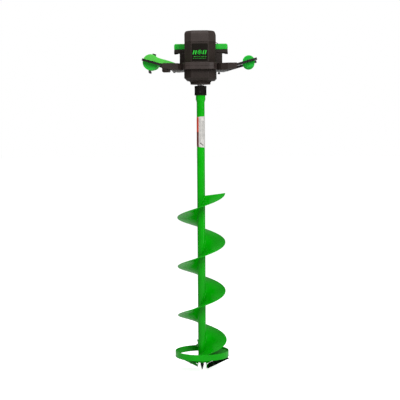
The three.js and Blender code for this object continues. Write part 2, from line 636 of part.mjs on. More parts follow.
function buildThrottle() {
  const throttle = new THREE.Group();
  throttle.position.set(-GRIP_X, 0, GRIP_Z);
  throttle.rotation.y = BAR_TILT;
  powerhead.add(throttle);

  const front = -GRIP_HALF + GAP;
  const hollowFront = front + WALL;
  const coreHole = alongY(join(
    rod(GRIP_CORE_RADIUS + GAP, -GRIP_CORE_HALF - GAP, 0, 16), rod(GRIP_BOLT_RADIUS + GAP, -90, 0, 12)));
  const buttonHole = box(BUTTON_X - 6.4, BUTTON_X + 6.4, BUTTON_Y - 7.4, BUTTON_Y + 7.4, 15, 40);
  const upperHollow = halfDisc(THROTTLE_RADIUS - WALL, hollowFront, THROTTLE_REAR + 1, true);
  const upper = halfDisc(THROTTLE_RADIUS, front, THROTTLE_REAR, true);

  // The duct carries the wires along the bar to the shoulder; its foot stands on the shoulder's top.
  const toLocal = ([x, z]) => {
    const [dx, dz] = [x + GRIP_X, z - GRIP_Z];
    const [c, s] = [Math.cos(BAR_TILT), Math.sin(BAR_TILT)];
    return [dx * c - dz * s, dx * s + dz * c];
  };
  const foot = SHOULDER_TOP + 0.4;
  const edge = -SHOULDER_OUTER_X - 0.4;
  const ductOutline = [
    [-158, 1111], [edge, 1103.5], [edge, foot], [-86, foot], [-90, 1110], [-109, 1116.5],
    [-134, 1123.5], [-148, 1128], [-158, 1136],
  ].map(toLocal);
  const duct = slab(ductOutline, -72, -50);
  add(throttle, "throttle_cover", greenPlastic,
    cut(join(upper, duct), upperHollow, coreHole, buttonHole));

  const lower = halfDisc(THROTTLE_RADIUS, front, THROTTLE_REAR, false);
  const lowerHollow = halfDisc(THROTTLE_RADIUS - WALL, hollowFront, THROTTLE_REAR + 1, false);
  const triggerSlot = box(-5.2, 5.2, -46, -20, -40, -15);
  const [pivotY, pivotZ] = TRIGGER_PIVOT;
  const pinSeat = alongX(rod(2.3, -16.3, 16.3, 12)).translate(0, pivotY, pivotZ);
  add(throttle, "throttle_base", greenPlastic,
    cut(lower, lowerHollow, coreHole, triggerSlot, pinSeat));

  const triggerOutline = [
    [-49, -21.5], [-36, -24.5], [-18, -30], [5, -35.5], [24, -36.5], [30, -34], [28, -31],
    [22, -31.5], [0, -29], [-20, -23.5], [-30, -20.5], [-38, -16.5], [-49, -16.5],
  ];
  const pinHole = alongX(rod(2.3, -20, 20, 12)).translate(0, pivotY, pivotZ);
  add(throttle, "throttle_trigger", blackPlastic, cut(sideSlab(triggerOutline, -4.5, 4.5), pinHole));
  const pin = alongX(rod(2, -16, 16, 12)).translate(0, pivotY, pivotZ);
  add(throttle, "trigger_pin", steel, pin);

  const cap = box(BUTTON_X - 6, BUTTON_X + 6, BUTTON_Y - 7, BUTTON_Y + 7, 19, 32);
  const skirt = box(BUTTON_X - 7, BUTTON_X + 7, BUTTON_Y - 9, BUTTON_Y + 9, 16.5, 20);
  add(throttle, "safety_button", rubber, join(cap, skirt));
}

// ---------------------------------------------------------------- direction switch under the left arm

function buildDirectionSwitch() {
  const [left, right, front, back] = [-131, -103, -94, -66];
  const under = (x) => SHOULDER_BOTTOM + SHOULDER_SLOPE * (-x - SHOULDER_SLOPE_X) - GAP;
  const outline = [
    [left + 3, 1075.5], [right - 3, 1075.5], [right, 1078], [right, under(right)],
    [left, under(left)], [left, 1078],
  ];
  const pocket = box(-127.6, -110.4, front - 1, -85, 1077.2, 1083.6);
  add(powerhead, "switch_box", blackPlastic, cut(slab(outline, front, back), pocket));
  // A rocker that pivots about an upright pin; it rests pushed in at its left end.
  const outlineOfRocker = [[-7.6, -2.5], [0, -4.2], [7.6, -2.5], [7.6, 1], [-7.6, 1]];
  const rocker = prism(outlineOfRocker, 1077.8, 1083);
  rocker.rotateZ(THREE.MathUtils.degToRad(-7)).translate(-119, -91, 0);
  add(powerhead, "direction_rocker", blackPlastic, rocker);
}

// ---------------------------------------------------------------- braces under the arms

function buildBraces() {
  const top = SHOULDER_BOTTOM - GAP;
  const outline = [
    [57, 1079.5], [60, 1078], [80, 1077], [99, 1080.5], [99, top], [61.8, top], [61.6, 1086.2],
    [57, 1086.2],
  ];
  for (const [name, side] of SIDES) {
    const [boltX, headBottom] = BRACE_BOLTS[name];
    const strap = slab(side > 0 ? outline : mirrored(outline), BRACE_Y - 8, BRACE_Y + 8);
    const hole = rod(3.3, 1060, 1095, 12).translate(boltX, BRACE_Y, 0);
    const counterbore = rod(4.6, 1060, headBottom + 4 + GAP, 12).translate(boltX, BRACE_Y, 0);
    add(powerhead, `brace_${name}`, zinc, cut(strap, hole, counterbore));
    const boltProfile = [
      [0, headBottom], [3.2, headBottom], [4.2, headBottom + 1], [4.2, headBottom + 4],
      [3, headBottom + 4], [3, 1094], [0, 1094],
    ];
    const bolt = turned(boltProfile, 12).translate(boltX, BRACE_Y, 0);
    add(powerhead, `brace_bolt_${name}`, blackSteel, bolt);
  }
}

// ---------------------------------------------------------------- assembly

buildTube();
buildFlights();
buildCutter("right", 0);
buildCutter("left", Math.PI);
buildPoint();
buildLabel();
buildOutput();
buildCounterShaft();
buildMotor();
buildGearbox();
buildFrame();
buildTower();
buildBatteryBay();
buildBattery();
buildBars();
buildShoulders();
buildGrips();
buildThrottle();
buildDirectionSwitch();
buildBraces();

const auger = new THREE.Group();
auger.add(drill, powerhead);

export default auger;
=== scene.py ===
# %% [markdown]
# # A battery ice auger, finished in Blender
#
# An ice auger drills a hole in a frozen lake. Two hands hold the grips, a motor in the black head
# turns a gearbox, and the gearbox turns the long green screw, which lifts the cut ice out of the hole.
#
# The engineering model gives every piece its place and its size. This lesson keeps those places and
# replaces the plain solids with finished ones: rounded mouldings, welds, screws, ribs and paint.
# We start by loading the frame.

# %% Load the frame
import json
import math

import bmesh
import bpy
from mathutils import Matrix, Vector

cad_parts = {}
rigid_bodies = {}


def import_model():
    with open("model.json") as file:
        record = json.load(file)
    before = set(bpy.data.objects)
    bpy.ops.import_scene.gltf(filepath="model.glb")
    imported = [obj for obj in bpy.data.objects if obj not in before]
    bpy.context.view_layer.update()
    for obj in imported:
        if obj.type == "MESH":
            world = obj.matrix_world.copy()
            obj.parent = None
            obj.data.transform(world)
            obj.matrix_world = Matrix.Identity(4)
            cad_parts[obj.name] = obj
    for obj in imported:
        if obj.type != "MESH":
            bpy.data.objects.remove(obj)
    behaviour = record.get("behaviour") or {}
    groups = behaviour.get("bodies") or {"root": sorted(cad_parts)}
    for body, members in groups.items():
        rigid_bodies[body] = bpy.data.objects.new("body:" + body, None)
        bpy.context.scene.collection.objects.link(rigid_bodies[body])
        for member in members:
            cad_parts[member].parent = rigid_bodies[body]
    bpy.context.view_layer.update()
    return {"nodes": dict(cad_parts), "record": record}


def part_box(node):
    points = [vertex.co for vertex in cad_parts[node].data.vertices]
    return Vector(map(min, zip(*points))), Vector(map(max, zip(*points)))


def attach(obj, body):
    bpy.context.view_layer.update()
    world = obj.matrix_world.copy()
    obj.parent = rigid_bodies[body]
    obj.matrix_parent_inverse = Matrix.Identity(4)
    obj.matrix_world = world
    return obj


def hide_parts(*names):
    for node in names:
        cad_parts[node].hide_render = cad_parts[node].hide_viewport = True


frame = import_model()

# %% [markdown]
# ## Working in millimetres
#
# Blender counts in metres, but a maker of power tools thinks in millimetres. Every size below is in
# millimetres, and a mesh is scaled once, when it is made. `corners` asks the frame where a solid is,
# so that a finished piece lands exactly on the solid that it stands for.

# %% Millimetres
MM = 0.001
TURN = 2 * math.pi


def corners(*nodes):
    """The lowest and highest corner of the box round these solids, in millimetres."""
    boxes = [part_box(node) for node in nodes]
    low = Vector([min(box[0][axis] for box in boxes) for axis in range(3)]) / MM
    high = Vector([max(box[1][axis] for box in boxes) for axis in range(3)]) / MM
    return low, high


print("the tube reaches from", *(round(corner.z, 1) for corner in corners("auger_tube")), "mm")

# %% [markdown]
# ## A short way to write node trees
#
# Materials and Geometry Nodes are both graphs of small boxes joined by wires. Built in a script, each
# box needs a line to make it and more lines to set and join its sockets. `node` does all three: give
# it the kind of node, the sockets to fill, and the node's own settings. A socket is filled with a
# plain value or with the output of another node. `math_node` is for sums, which are written often.

# %% Nodes in one line
def node(tree, kind, inputs=None, **settings):
    made = tree.nodes.new(kind)
    for name, value in settings.items():
        setattr(made, name, value)
    for name, value in (inputs or {}).items():
        if isinstance(value, bpy.types.NodeSocket):
            tree.links.new(value, made.inputs[name])
        else:
            made.inputs[name].default_value = value
    return made


def math_node(tree, operation, *values):
    inputs = dict(enumerate(values))
    return node(tree, "ShaderNodeMath", inputs, operation=operation).outputs[0]


def ramp(tree, value, low, high, to_low=0.0, to_high=1.0):
    """A smooth change from to_low to to_high, as value goes from low to high."""
    inputs = {"Value": value, "From Min": low, "From Max": high, "To Min": to_low, "To Max": to_high}
    return node(tree, "ShaderNodeMapRange", inputs, interpolation_type="SMOOTHSTEP").outputs["Result"]


# %% [markdown]
# ## Finishes
#
# Each finish is a Principled shader fed by patterns. The patterns read Object coordinates, which are
# the real place of a point on the auger, so a grain of half a millimetre stays that size on every
# piece. `surface` starts a material, `grain` is noise of a given size in millimetres, and `relief`
# turns a pattern into small hills and hollows of a given depth.

# %% Starting a finish
def surface(name, **constants):
    """A new material: its tree, its shader, and the place on the object."""
    made = bpy.data.materials.new(name)
    made.use_nodes = True
    tree = made.node_tree
    tree.nodes.clear()
    shader = node(tree, "ShaderNodeBsdfPrincipled")
    for socket, value in constants.items():
        shader.inputs[socket.replace("_", " ")].default_value = value
    node(tree, "ShaderNodeOutputMaterial", {"Surface": shader.outputs[0]})
    return made, tree, shader, node(tree, "ShaderNodeTexCoord").outputs["Object"]


def grain(tree, place, size, detail=2.0, stretch=(1, 1, 1)):
    """Noise between 0 and 1 whose lumps are about size millimetres across."""
    scale = [1 / (size * MM * along) for along in stretch]
    stretched = node(tree, "ShaderNodeMapping", {"Vector": place, "Scale": scale}).outputs[0]
    inputs = {"Vector": stretched, "Scale": 1.0, "Detail": detail}
    return node(tree, "ShaderNodeTexNoise", inputs).outputs[0]


def relief(tree, heights, depth, strength=1.0):
    inputs = {"Height": heights, "Distance": depth * MM, "Strength": strength}
    return node(tree, "ShaderNodeBump", inputs).outputs[0]


def blend(tree, share, first, second):
    """The first colour where share is 0 and the second where it is 1."""
    mixed = node(tree, "ShaderNodeMix", data_type="RGBA")
    for socket, value in (("Factor_Float", share), ("A_Color", first), ("B_Color", second)):
        target = next(s for s in mixed.inputs if s.identifier == socket)
        if isinstance(value, bpy.types.NodeSocket):
            tree.links.new(value, target)
        else:
            target.default_value = value if socket == "Factor_Float" else (*value, 1)
    return next(s for s in mixed.outputs if s.identifier == "Result_Color")


def dress(tree, shader, colour, rough, hills):
    """Joins the patterns to the shader."""
    for socket, pattern in (("Base Color", colour), ("Roughness", rough), ("Normal", hills)):
        tree.links.new(pattern, shader.inputs[socket])


# %% [markdown]
# ### Paint on steel
#
# The drill is powder coated: the colour is baked on in a thick, slightly rippled skin like the peel of
# an orange. Two octaves of noise make the ripple, a much larger one lets the green drift a little, and
# a Bevel node finds the sharp edges, where the coat is thinner and has begun to wear through.

# %% Powder coat
GREEN = (0.0008, 0.42, 0.001)


def edges(tree, radius):
    """Near 0 on a flat stretch and up to 1 on a sharp edge."""
    bent = node(tree, "ShaderNodeBevel", {"Radius": radius * MM}, samples=3).outputs[0]
    straight = node(tree, "ShaderNodeNewGeometry").outputs["Normal"]
    inputs = {0: bent, 1: straight}
    alike = node(tree, "ShaderNodeVectorMath", inputs, operation="DOT_PRODUCT").outputs["Value"]
    return ramp(tree, alike, 0.995, 0.8)


def powder_coat(name, colour, roughness, wear=0.35):
    made, tree, shader, place = surface(name, Specular_IOR_Level=0.12, Coat_Weight=0.15, Coat_Roughness=0.16)
    drift = grain(tree, place, 70)
    deeper = [0.82 * channel for channel in colour]
    painted = blend(tree, ramp(tree, drift, 0.3, 0.7), colour, deeper)
    chips = ramp(tree, grain(tree, place, 2.2, 4), 0.52, 0.68)
    worn = math_node(tree, "MULTIPLY", math_node(tree, "MULTIPLY", edges(tree, 0.8), chips), wear)
    shown = blend(tree, worn, painted, (0.10, 0.12, 0.09))
    scuffs = grain(tree, place, 9, 5, stretch=(1, 1, 4))
    rough = ramp(tree, scuffs, 0.35, 0.75, roughness - 0.05, roughness + 0.1)
    dress(tree, shader, shown, rough, relief(tree, grain(tree, place, 1.7, 1), 0.05, 0.6))
    return made


finishes = {"green_paint": powder_coat("green powder coat", GREEN, 0.30)}
print("first finish:", finishes["green_paint"].name)

# %% [markdown]
# ### Moulded plastic
#
# The casings are glass-filled nylon from a spark-eroded mould, which leaves an even, fine grain. It
# scatters light, so the black looks like a warm dark grey. Handling polishes the corners and leaves a
# few pale scuffs. The same recipe makes the green mouldings, with another colour and a finer grain.

# %% Plastic
def moulded(name, colour, roughness, grain_size=0.55, scuff=0.25, specular=0.4):
    made, tree, shader, place = surface(name, Specular_IOR_Level=specular)
    paler = [min(1.0, 1.25 * channel + 0.01) for channel in colour]
    deeper = [0.85 * channel for channel in colour]
    drift = ramp(tree, grain(tree, place, 28, 3), 0.35, 0.65)
    tone = blend(tree, drift, deeper, colour)
    handled = math_node(tree, "MULTIPLY", edges(tree, 1.2), 0.5)
    marks = ramp(tree, grain(tree, place, 5, 5, stretch=(1, 3, 1)), 0.6, 0.75, 0.0, scuff)
    lighter = math_node(tree, "MAXIMUM", handled, marks)
    fine = grain(tree, place, grain_size, 1)
    sheen = math_node(tree, "MULTIPLY_ADD", fine, 0.12, roughness - 0.06)
    rough = math_node(tree, "SUBTRACT", sheen, math_node(tree, "MULTIPLY", handled, 0.1))
    dress(tree, shader, blend(tree, lighter, tone, paler), rough, relief(tree, fine, 0.05, 0.5))
    return made


finishes["black_plastic"] = moulded("black nylon", (0.026, 0.018, 0.015), 0.5, specular=0.2)
finishes["cap_plastic"] = moulded("grey-black nylon", (0.040, 0.029, 0.026), 0.46, specular=0.25)
finishes["green_plastic"] = moulded("green nylon", (0.022, 0.52, 0.036), 0.38, 0.4, 0.15, 0.2)
grip_rubber = moulded("green grip rubber", (0.012, 0.50, 0.035), 0.55, 0.8, 0.15, 0.12)
duct_plastic = moulded("light green nylon", (0.10, 0.62, 0.075), 0.3, 0.4, 0.1, 0.3)
panel_plastic = moulded("gloss black panel", (0.007, 0.005, 0.003), 0.25, 0.35, 0.05, 0.25)
print(len(finishes), "finishes so far")

# %% [markdown]
# ### Rubber, steel, zinc and copper
#
# Rubber is matt and dusty. Ground steel shows fine parallel lines, so its noise is stretched along
# them. Zinc plating is a little yellow and cloudy. The blades are blackened in hot oil, which leaves
# blue and brown patches, and the bars and bolts have a black coat like the drill's green one. The
# motor's windings are lacquered copper wire.

# %% Rubber and metals
def rubber(name, colour):
    made, tree, shader, place = surface(name, Specular_IOR_Level=0.12)
    dust = ramp(tree, grain(tree, place, 6, 5), 0.45, 0.75, 0.0, 0.5)
    fine = grain(tree, place, 0.7, 3)
    dress(tree, shader, blend(tree, dust, colour, (0.016, 0.014, 0.012)),
          math_node(tree, "MULTIPLY_ADD", fine, 0.2, 0.6), relief(tree, fine, 0.08, 0.6))
    return made


def metal(name, light, dark, roughness, lines=(1, 1, 1), patch=12):
    made, tree, shader, place = surface(name, Metallic=1.0)
    patches = ramp(tree, grain(tree, place, patch, 4), 0.35, 0.65)
    brushed = grain(tree, place, 0.5, 3, stretch=lines)
    dress(tree, shader, blend(tree, patches, light, dark),
          math_node(tree, "MULTIPLY_ADD", brushed, 0.22, roughness - 0.1), relief(tree, brushed, 0.02, 0.5))
    return made


finishes["rubber"] = rubber("black rubber", (0.005, 0.004, 0.003))
finishes["steel"] = metal("ground steel", (0.56, 0.55, 0.53), (0.42, 0.41, 0.40), 0.3, (12, 12, 1))
finishes["zinc"] = metal("zinc plate", (0.72, 0.71, 0.66), (0.58, 0.60, 0.62), 0.34, (1, 1, 1), 4)
finishes["black_steel"] = powder_coat("black powder coat", (0.018, 0.016, 0.015), 0.42, 0.6)
finishes["copper"] = metal("lacquered copper", (0.62, 0.25, 0.10), (0.42, 0.14, 0.05), 0.35, (1, 1, 14))
blade_steel = metal("oil-blackened steel", (0.060, 0.048, 0.044), (0.025, 0.027, 0.034), 0.36, (1, 14, 1), 9)
print(len(finishes), "finishes")

# %% [markdown]
# ## Shapes
#
# Most pieces here are one of two kinds. A turned piece, such as the collar or a grip, is a profile
# spun round an axis. A moulding, such as the cap, is a plan outline carried upwards while it grows or
# shrinks. Both come down to the same act: joining a stack of closed loops of points with quads. That
# is `lofted`, and everything else prepares loops for it.

# %% Lofting
def lofted(loops, ring=False):
    """A mesh through a stack of equal loops. Its two ends are closed, or joined if it is a ring."""
    shape = bmesh.new()
    rows = [[shape.verts.new(point) for point in loop] for loop in loops]
    pairs = list(zip(rows, rows[1:]))
    if ring:
        pairs.append((rows[-1], rows[0]))
    for lower, upper in pairs:
        for n in range(len(lower)):
            shape.faces.new((lower[n - 1], lower[n], upper[n], upper[n - 1]))
    if not ring:
        shape.faces.new(rows[0])
        shape.faces.new(rows[-1])
    return shape


def outwards(shape):
    """Turns every face outwards. A shape that is inside out has a volume below nothing."""
    bmesh.ops.recalc_face_normals(shape, faces=shape.faces)
    if shape.calc_volume(signed=True) < 0:
        bmesh.ops.reverse_faces(shape, faces=shape.faces)
    return shape


def closed(shape):
    """Merges doubled points, drops faces that this leaves without area, and turns every face outwards."""
    bmesh.ops.remove_doubles(shape, verts=shape.verts, dist=1e-4)
    bmesh.ops.dissolve_degenerate(shape, edges=shape.edges, dist=1e-5)
    return outwards(shape)


# %% [markdown]
# Real corners are never sharp. `rounded` swaps each corner of an outline for a short arc. It works on
# a closed plan and on an open profile alike. `inset` moves a closed outline inwards, as a draughtsman
# would draw a wall inside a wall; a negative distance moves it outwards.

# %% Rounding and insetting outlines
def arc(before, corner, after, radius, steps):
    u, v = (before - corner).normalized(), (after - corner).normalized()
    half = max(u.angle(v) / 2, 1e-3)
    if half > math.pi / 2 - 0.01:
        return [corner] * (steps + 1)
    reach = min(radius / math.tan(half), 0.49 * (before - corner).length, 0.49 * (after - corner).length)
    centre = corner + (u + v).normalized() * (reach / math.cos(half))
    start, end = corner + u * reach - centre, corner + v * reach - centre
    turn = start.angle_signed(end)
    return [centre + Matrix.Rotation(-turn * n / steps, 2) @ start for n in range(steps + 1)]


def rounded(points, radius, steps=4, closed_up=True):
    points = [Vector(point) for point in points]
    if closed_up:
        corner_range = range(len(points))
        rounded_points = []
    else:
        corner_range = range(1, len(points) - 1)
        rounded_points = [points[0]]
    for n in corner_range:
        after = points[(n + 1) % len(points)]
        rounded_points += arc(points[n - 1], points[n], after, radius, steps)
    return rounded_points if closed_up else [*rounded_points, points[-1]]


def inset(points, distance):
    """An anticlockwise outline with each side moved inwards."""
    points = [Vector(point) for point in points]
    moved = []
    for n, here in enumerate(points):
        along_in = (here - points[n - 1]).normalized()
        along_out = (points[(n + 1) % len(points)] - here).normalized()
        normal_in, normal_out = Vector((-along_in.y, along_in.x)), Vector((-along_out.y, along_out.x))
        moved.append(here + (normal_in + normal_out) * distance / (1 + normal_in.dot(normal_out)))
    return moved


# %% [markdown]
# `turned` spins a profile of (radius, height) points. `moulding` carries a plan up a profile of
# (inset, height) points, so that a profile is read the same way in both: it
# climbs the outer wall, and it may come back down the inner one. `slab` is for a piece drawn from the
# front or the side, with a rounded rim all round.

# %% Turned pieces, mouldings and slabs
def turned(profile, segments=64, ring=False):
    """A round piece about Z. A profile that doesn't close on itself starts and ends on the axis."""
    loops = []
    for radius, height in profile:
        angles = [TURN * n / segments for n in range(segments)]
        radius = max(radius, 0.001)
        loops.append([(radius * math.cos(a), radius * math.sin(a), height) for a in angles])
    return closed(lofted(loops, ring))


def moulding(plan, radius, profile, ring=False):
    loops = []
    for distance, height in profile:
        outline = rounded(inset(plan, distance), max(radius - distance, 0.4))
        loops.append([(point.x, point.y, height) for point in outline])
    return closed(lofted(loops, ring))


def oblong(left, low, right, high):
    """The corners of a rectangle, anticlockwise."""
    return [(left, low), (right, low), (right, high), (left, high)]


def slab(outline, low, high, radius=2.0, rim=0.8, towards="Y"):
    """An outline with rounded corners, from low to high along an axis, its rims rounded too."""
    profile = rounded([(rim * 3, low), (0, low), (0, high), (rim * 3, high)], rim, 3, closed_up=False)
    shape = moulding(outline, radius, profile)
    if towards == "Y":
        for vert in shape.verts:
            vert.co = (vert.co.x, vert.co.z, vert.co.y)
    if towards == "X":
        for vert in shape.verts:
            vert.co = (vert.co.z, vert.co.x, vert.co.y)
    return outwards(shape)


def bar(left, right, front, back, bottom, top, rim=0.4):
    """A straight bar with rounded edges."""
    profile = [(rim, bottom), (0, bottom + rim), (0, top - rim), (rim, top)]
    return moulding(oblong(left, front, right, back), rim, profile)


def both(half):
    """A whole outline from its right half, which is given from front to back."""
    return [*half, *((-x, y) for x, y in reversed(half))]


def moved(shape, x=0, y=0, z=0):
    bmesh.ops.translate(shape, verts=shape.verts, vec=(x, y, z))
    return shape


def shape_of(mesh):
    """A mesh taken back into a shape that can be worked on."""
    shape = bmesh.new()
    shape.from_mesh(mesh)
    return shape


def joined(*shapes):
    """Several shapes in one mesh."""
    whole = bmesh.new()
    for shape in shapes:
        part = bpy.data.meshes.new("part")
        shape.to_mesh(part)
        whole.from_mesh(part)
        bpy.data.meshes.remove(part)
    return whole


print("a test cap has", len(moulding(oblong(0, 0, 9, 9), 2, [(0, 0), (0, 5)]).faces), "faces")

# %% [markdown]
# ## From a shape to a piece
#
# A piece is finished in four steps. Its mesh is scaled to metres. Its faces are shaded smooth, with a
# sharp break at real edges. A Weighted Normal modifier then keeps the large faces flat, so that only
# the roundings bend the light. Last it is tied to a body of the frame, the solids that it stands for
# are hidden, and it is given the finish of its slot. `evaluated` turns live modifiers into a plain mesh.

# %% Making a piece
def evaluated(carrier):
    """The mesh that an object's modifiers make. The modifiers are removed."""
    graph = bpy.context.evaluated_depsgraph_get()
    mesh = bpy.data.meshes.new_from_object(carrier.evaluated_get(graph), depsgraph=graph)
    carrier.modifiers.clear()
    carrier.data = mesh
    return mesh


def object_with(name, shape):
    mesh = bpy.data.meshes.new(name)
    if isinstance(shape, bmesh.types.BMesh):
        shape.to_mesh(mesh)
        shape.free()
    else:
        mesh = shape
    carrier = bpy.data.objects.new(name, mesh)
    bpy.context.scene.collection.objects.link(carrier)
    return carrier


def settle(carrier, sharp):
    """Smooth shading with flat faces kept flat."""
    mesh = carrier.data
    mesh.shade_smooth()
    mesh.set_sharp_from_angle(angle=math.radians(sharp))
    weighted = carrier.modifiers.new("flat faces", "WEIGHTED_NORMAL")
    weighted.keep_sharp = True
    evaluated(carrier)


def piece(name, shape, body, slot, *nodes, finish=None, sharp=38, in_metres=False):
    """A finished piece: its mesh, its body, its slot and the solids that it stands for."""
    carrier = object_with(name, shape)
    if not in_metres:
        carrier.data.transform(Matrix.Scale(MM, 4))
    settle(carrier, sharp)
    carrier.data.materials.clear()
    carrier.data.materials.append(finish or finishes[slot])
    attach(carrier, body)
    if nodes:
        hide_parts(*nodes)
    print(f"{name}: {len(carrier.data.polygons)} faces on {body}")
    return carrier


# %% [markdown]
# Some solids already have the right outline and need only the roundings that a press or a mould
# leaves. `softened` takes a copy of such a solid, merges its loose triangles into whole faces, and
# bevels every edge sharper than 30 degrees.

# %% Softened copies
def softened(name, node_name, width, body, slot, finish=None, segments=3):
    shape = shape_of(frame["nodes"][node_name].data)
    bmesh.ops.remove_doubles(shape, verts=shape.verts, dist=2e-6)
    bmesh.ops.dissolve_limit(shape, angle_limit=math.radians(0.7), verts=shape.verts, edges=shape.edges)
    carrier = object_with(name + "_soft", shape)
    bevel = carrier.modifiers.new("soft edges", "BEVEL")
    bevel.width = width * MM
    bevel.segments = segments
    bevel.angle_limit = math.radians(30)
    mesh = evaluated(carrier)
    bpy.data.objects.remove(carrier)
    return piece(name, mesh, body, slot, node_name, finish=finish, in_metres=True)


def cut(shape, *cutters):
    """A shape with other shapes taken out of it."""
    carrier = object_with("blank", shape)
    for n, cutter in enumerate(cutters):
        tool = object_with(f"cutter {n}", cutter)
        boolean = carrier.modifiers.new("cut", "BOOLEAN")
        boolean.operation = "DIFFERENCE"
        boolean.solver = "EXACT"
        boolean.object = tool
    mesh = evaluated(carrier)
    for leftover in [o for o in bpy.context.scene.objects if o.name.startswith("cutter ")]:
        bpy.data.objects.remove(leftover)
    bpy.data.objects.remove(carrier)
    return shape_of(mesh)


# %% [markdown]
# ## Geometry Nodes for what repeats
#
# Ribs, slats, screws and the screw drill itself all follow a rule. Geometry Nodes hold such a rule as
# a graph with named inputs, so that one tree serves many pieces. `new_tree` starts one, `grown` runs
# it on an object and keeps the result as a plain mesh. The inputs are set on the modifier by each
# socket's identifier, because a name may be used twice in a tree but an identifier can't.

# %% Starting a tree and running it
SOCKETS = {"Count": "NodeSocketInt", "Finish": "NodeSocketMaterial", "Piece": "NodeSocketObject",
           "Turn About": "NodeSocketVector", "Step": "NodeSocketVector"}


def new_tree(name, *inputs):
    """A tree with a geometry input, the named inputs and a geometry output."""
    tree = bpy.data.node_groups.new(name, "GeometryNodeTree")
    tree.interface.new_socket("Geometry", in_out="INPUT", socket_type="NodeSocketGeometry")
    for title in inputs:
        kind = SOCKETS.get(title, "NodeSocketFloat")
        tree.interface.new_socket(title, in_out="INPUT", socket_type=kind)
    tree.interface.new_socket("Geometry", in_out="OUTPUT", socket_type="NodeSocketGeometry")
    return tree, node(tree, "NodeGroupInput").outputs


def end_tree(tree, geometry, finish):
    """Every tree ends in real geometry with its material set."""
    real = node(tree, "GeometryNodeRealizeInstances", {"Geometry": geometry}).outputs[0]
    painted = node(tree, "GeometryNodeSetMaterial", {"Geometry": real, "Material": finish}).outputs[0]
    node(tree, "NodeGroupOutput", {"Geometry": painted})


def grown(tree, shape, **sizes):
    """The plain mesh that a tree makes from a shape, in millimetres."""
    carrier = object_with("seed", shape)
    modifier = carrier.modifiers.new("grow", "NODES")
    modifier.node_group = tree
    for item in tree.interface.items_tree:
        key = item.name.replace(" ", "_").lower()
        if item.in_out == "INPUT" and key in sizes:
            modifier[item.identifier] = sizes.pop(key)
    if sizes:
        raise ValueError(f"{tree.name} has no input for {sorted(sizes)}")
    mesh = evaluated(carrier)
    bpy.data.objects.remove(carrier)
    return shape_of(mesh)


def separate(tree, vector):
    return node(tree, "ShaderNodeSeparateXYZ", {0: vector}).outputs


def combine(tree, x, y, z):
    return node(tree, "ShaderNodeCombineXYZ", {0: x, 1: y, 2: z}).outputs[0]


# %% [markdown]
# The first tree turns copies of a piece about an axis, for the ribs of the collar. The second lays
# copies in a straight row, for slats and ridges. The third puts one copy on each point of a mesh and
# points it along that point's `facing`, for screws, which sit in many places and look many ways.

# %% A ring, a row and a set of places
def ring_tree():
    tree, given = new_tree("ring of copies", "Count", "Turn About", "Finish")
    points = node(tree, "GeometryNodePoints", {"Count": given["Count"]}).outputs[0]
    share = math_node(tree, "DIVIDE", node(tree, "GeometryNodeInputIndex").outputs[0], given["Count"])
    angle = math_node(tree, "MULTIPLY", share, TURN)
    turns = node(tree, "ShaderNodeVectorMath", {0: given["Turn About"], "Scale": angle}, operation="SCALE")
    inputs = {"Points": points, "Instance": given["Geometry"], "Rotation": turns.outputs[0]}
    copies = node(tree, "GeometryNodeInstanceOnPoints", inputs).outputs[0]
    end_tree(tree, copies, given["Finish"])
    return tree


def row_tree():
    tree, given = new_tree("row of copies", "Count", "Step", "Finish")
    index = node(tree, "GeometryNodeInputIndex").outputs[0]
    steps = node(tree, "ShaderNodeVectorMath", {0: given["Step"], "Scale": index}, operation="SCALE")
    inputs = {"Count": given["Count"], "Position": steps.outputs[0]}
    points = node(tree, "GeometryNodePoints", inputs).outputs[0]
    copies = node(tree, "GeometryNodeInstanceOnPoints", {"Points": points, "Instance": given["Geometry"]})
    end_tree(tree, copies.outputs[0], given["Finish"])
    return tree


def places_tree():
    tree, given = new_tree("copies in places", "Piece", "Finish")
    facing = node(tree, "GeometryNodeInputNamedAttribute", {"Name": "facing"}, data_type="FLOAT_VECTOR")
    turned_to = node(tree, "FunctionNodeAlignRotationToVector", {"Vector": facing.outputs[0]}, axis="Z")
    source = node(tree, "GeometryNodeObjectInfo", {"Object": given["Piece"]}).outputs["Geometry"]
    inputs = {"Points": given["Geometry"], "Instance": source, "Rotation": turned_to.outputs[0]}
    copies = node(tree, "GeometryNodeInstanceOnPoints", inputs).outputs[0]
    end_tree(tree, copies, given["Finish"])
    return tree


RING, ROW, PLACES = ring_tree(), row_tree(), places_tree()


def ring_of(shape, count, finish, about=(0, 0, 1)):
    return grown(RING, shape, count=count, turn_about=about, finish=finish)


def row_of(shape, count, step, finish=None):
    return grown(ROW, shape, count=count, step=step, finish=finish)


def copies_at(shape, places, finish):
    """Copies of a shape at ((x, y, z), facing) places."""
    source = object_with("source", shape)
    carrier = bpy.data.meshes.new("places")
    carrier.from_pydata([place for place, _ in places], [], [])
    facing = carrier.attributes.new("facing", "FLOAT_VECTOR", "POINT")
    for n, (_, direction) in enumerate(places):
        facing.data[n].vector = direction
    result = grown(PLACES, carrier, piece=source, finish=finish)
    bpy.data.objects.remove(source)
    return result


print("a ring of six bars has", len(ring_of(bar(5, 6, -1, 1, 0, 1), 6, finishes["steel"]).faces), "faces")

# %% [markdown]
# ## The screw drill
#
# ### The flight
#
# The flight is a strip of steel pressed into a screw and welded round the tube. One turn climbs 178 mm.
# A point of it is known from two numbers: how many turns it is below the top, and how far out it lies
# between the tube and the rim. So the tree starts from a thin flat box, whose X runs outwards and
# whose Y runs along the screw, and moves each of its points to its place on the spiral.
#
# Three details make it this drill's flight. Its top end is cut aslant, it widens to meet the cutting
# ring near the bottom, and its last quarter turn lifts outwards to lie on a blade.

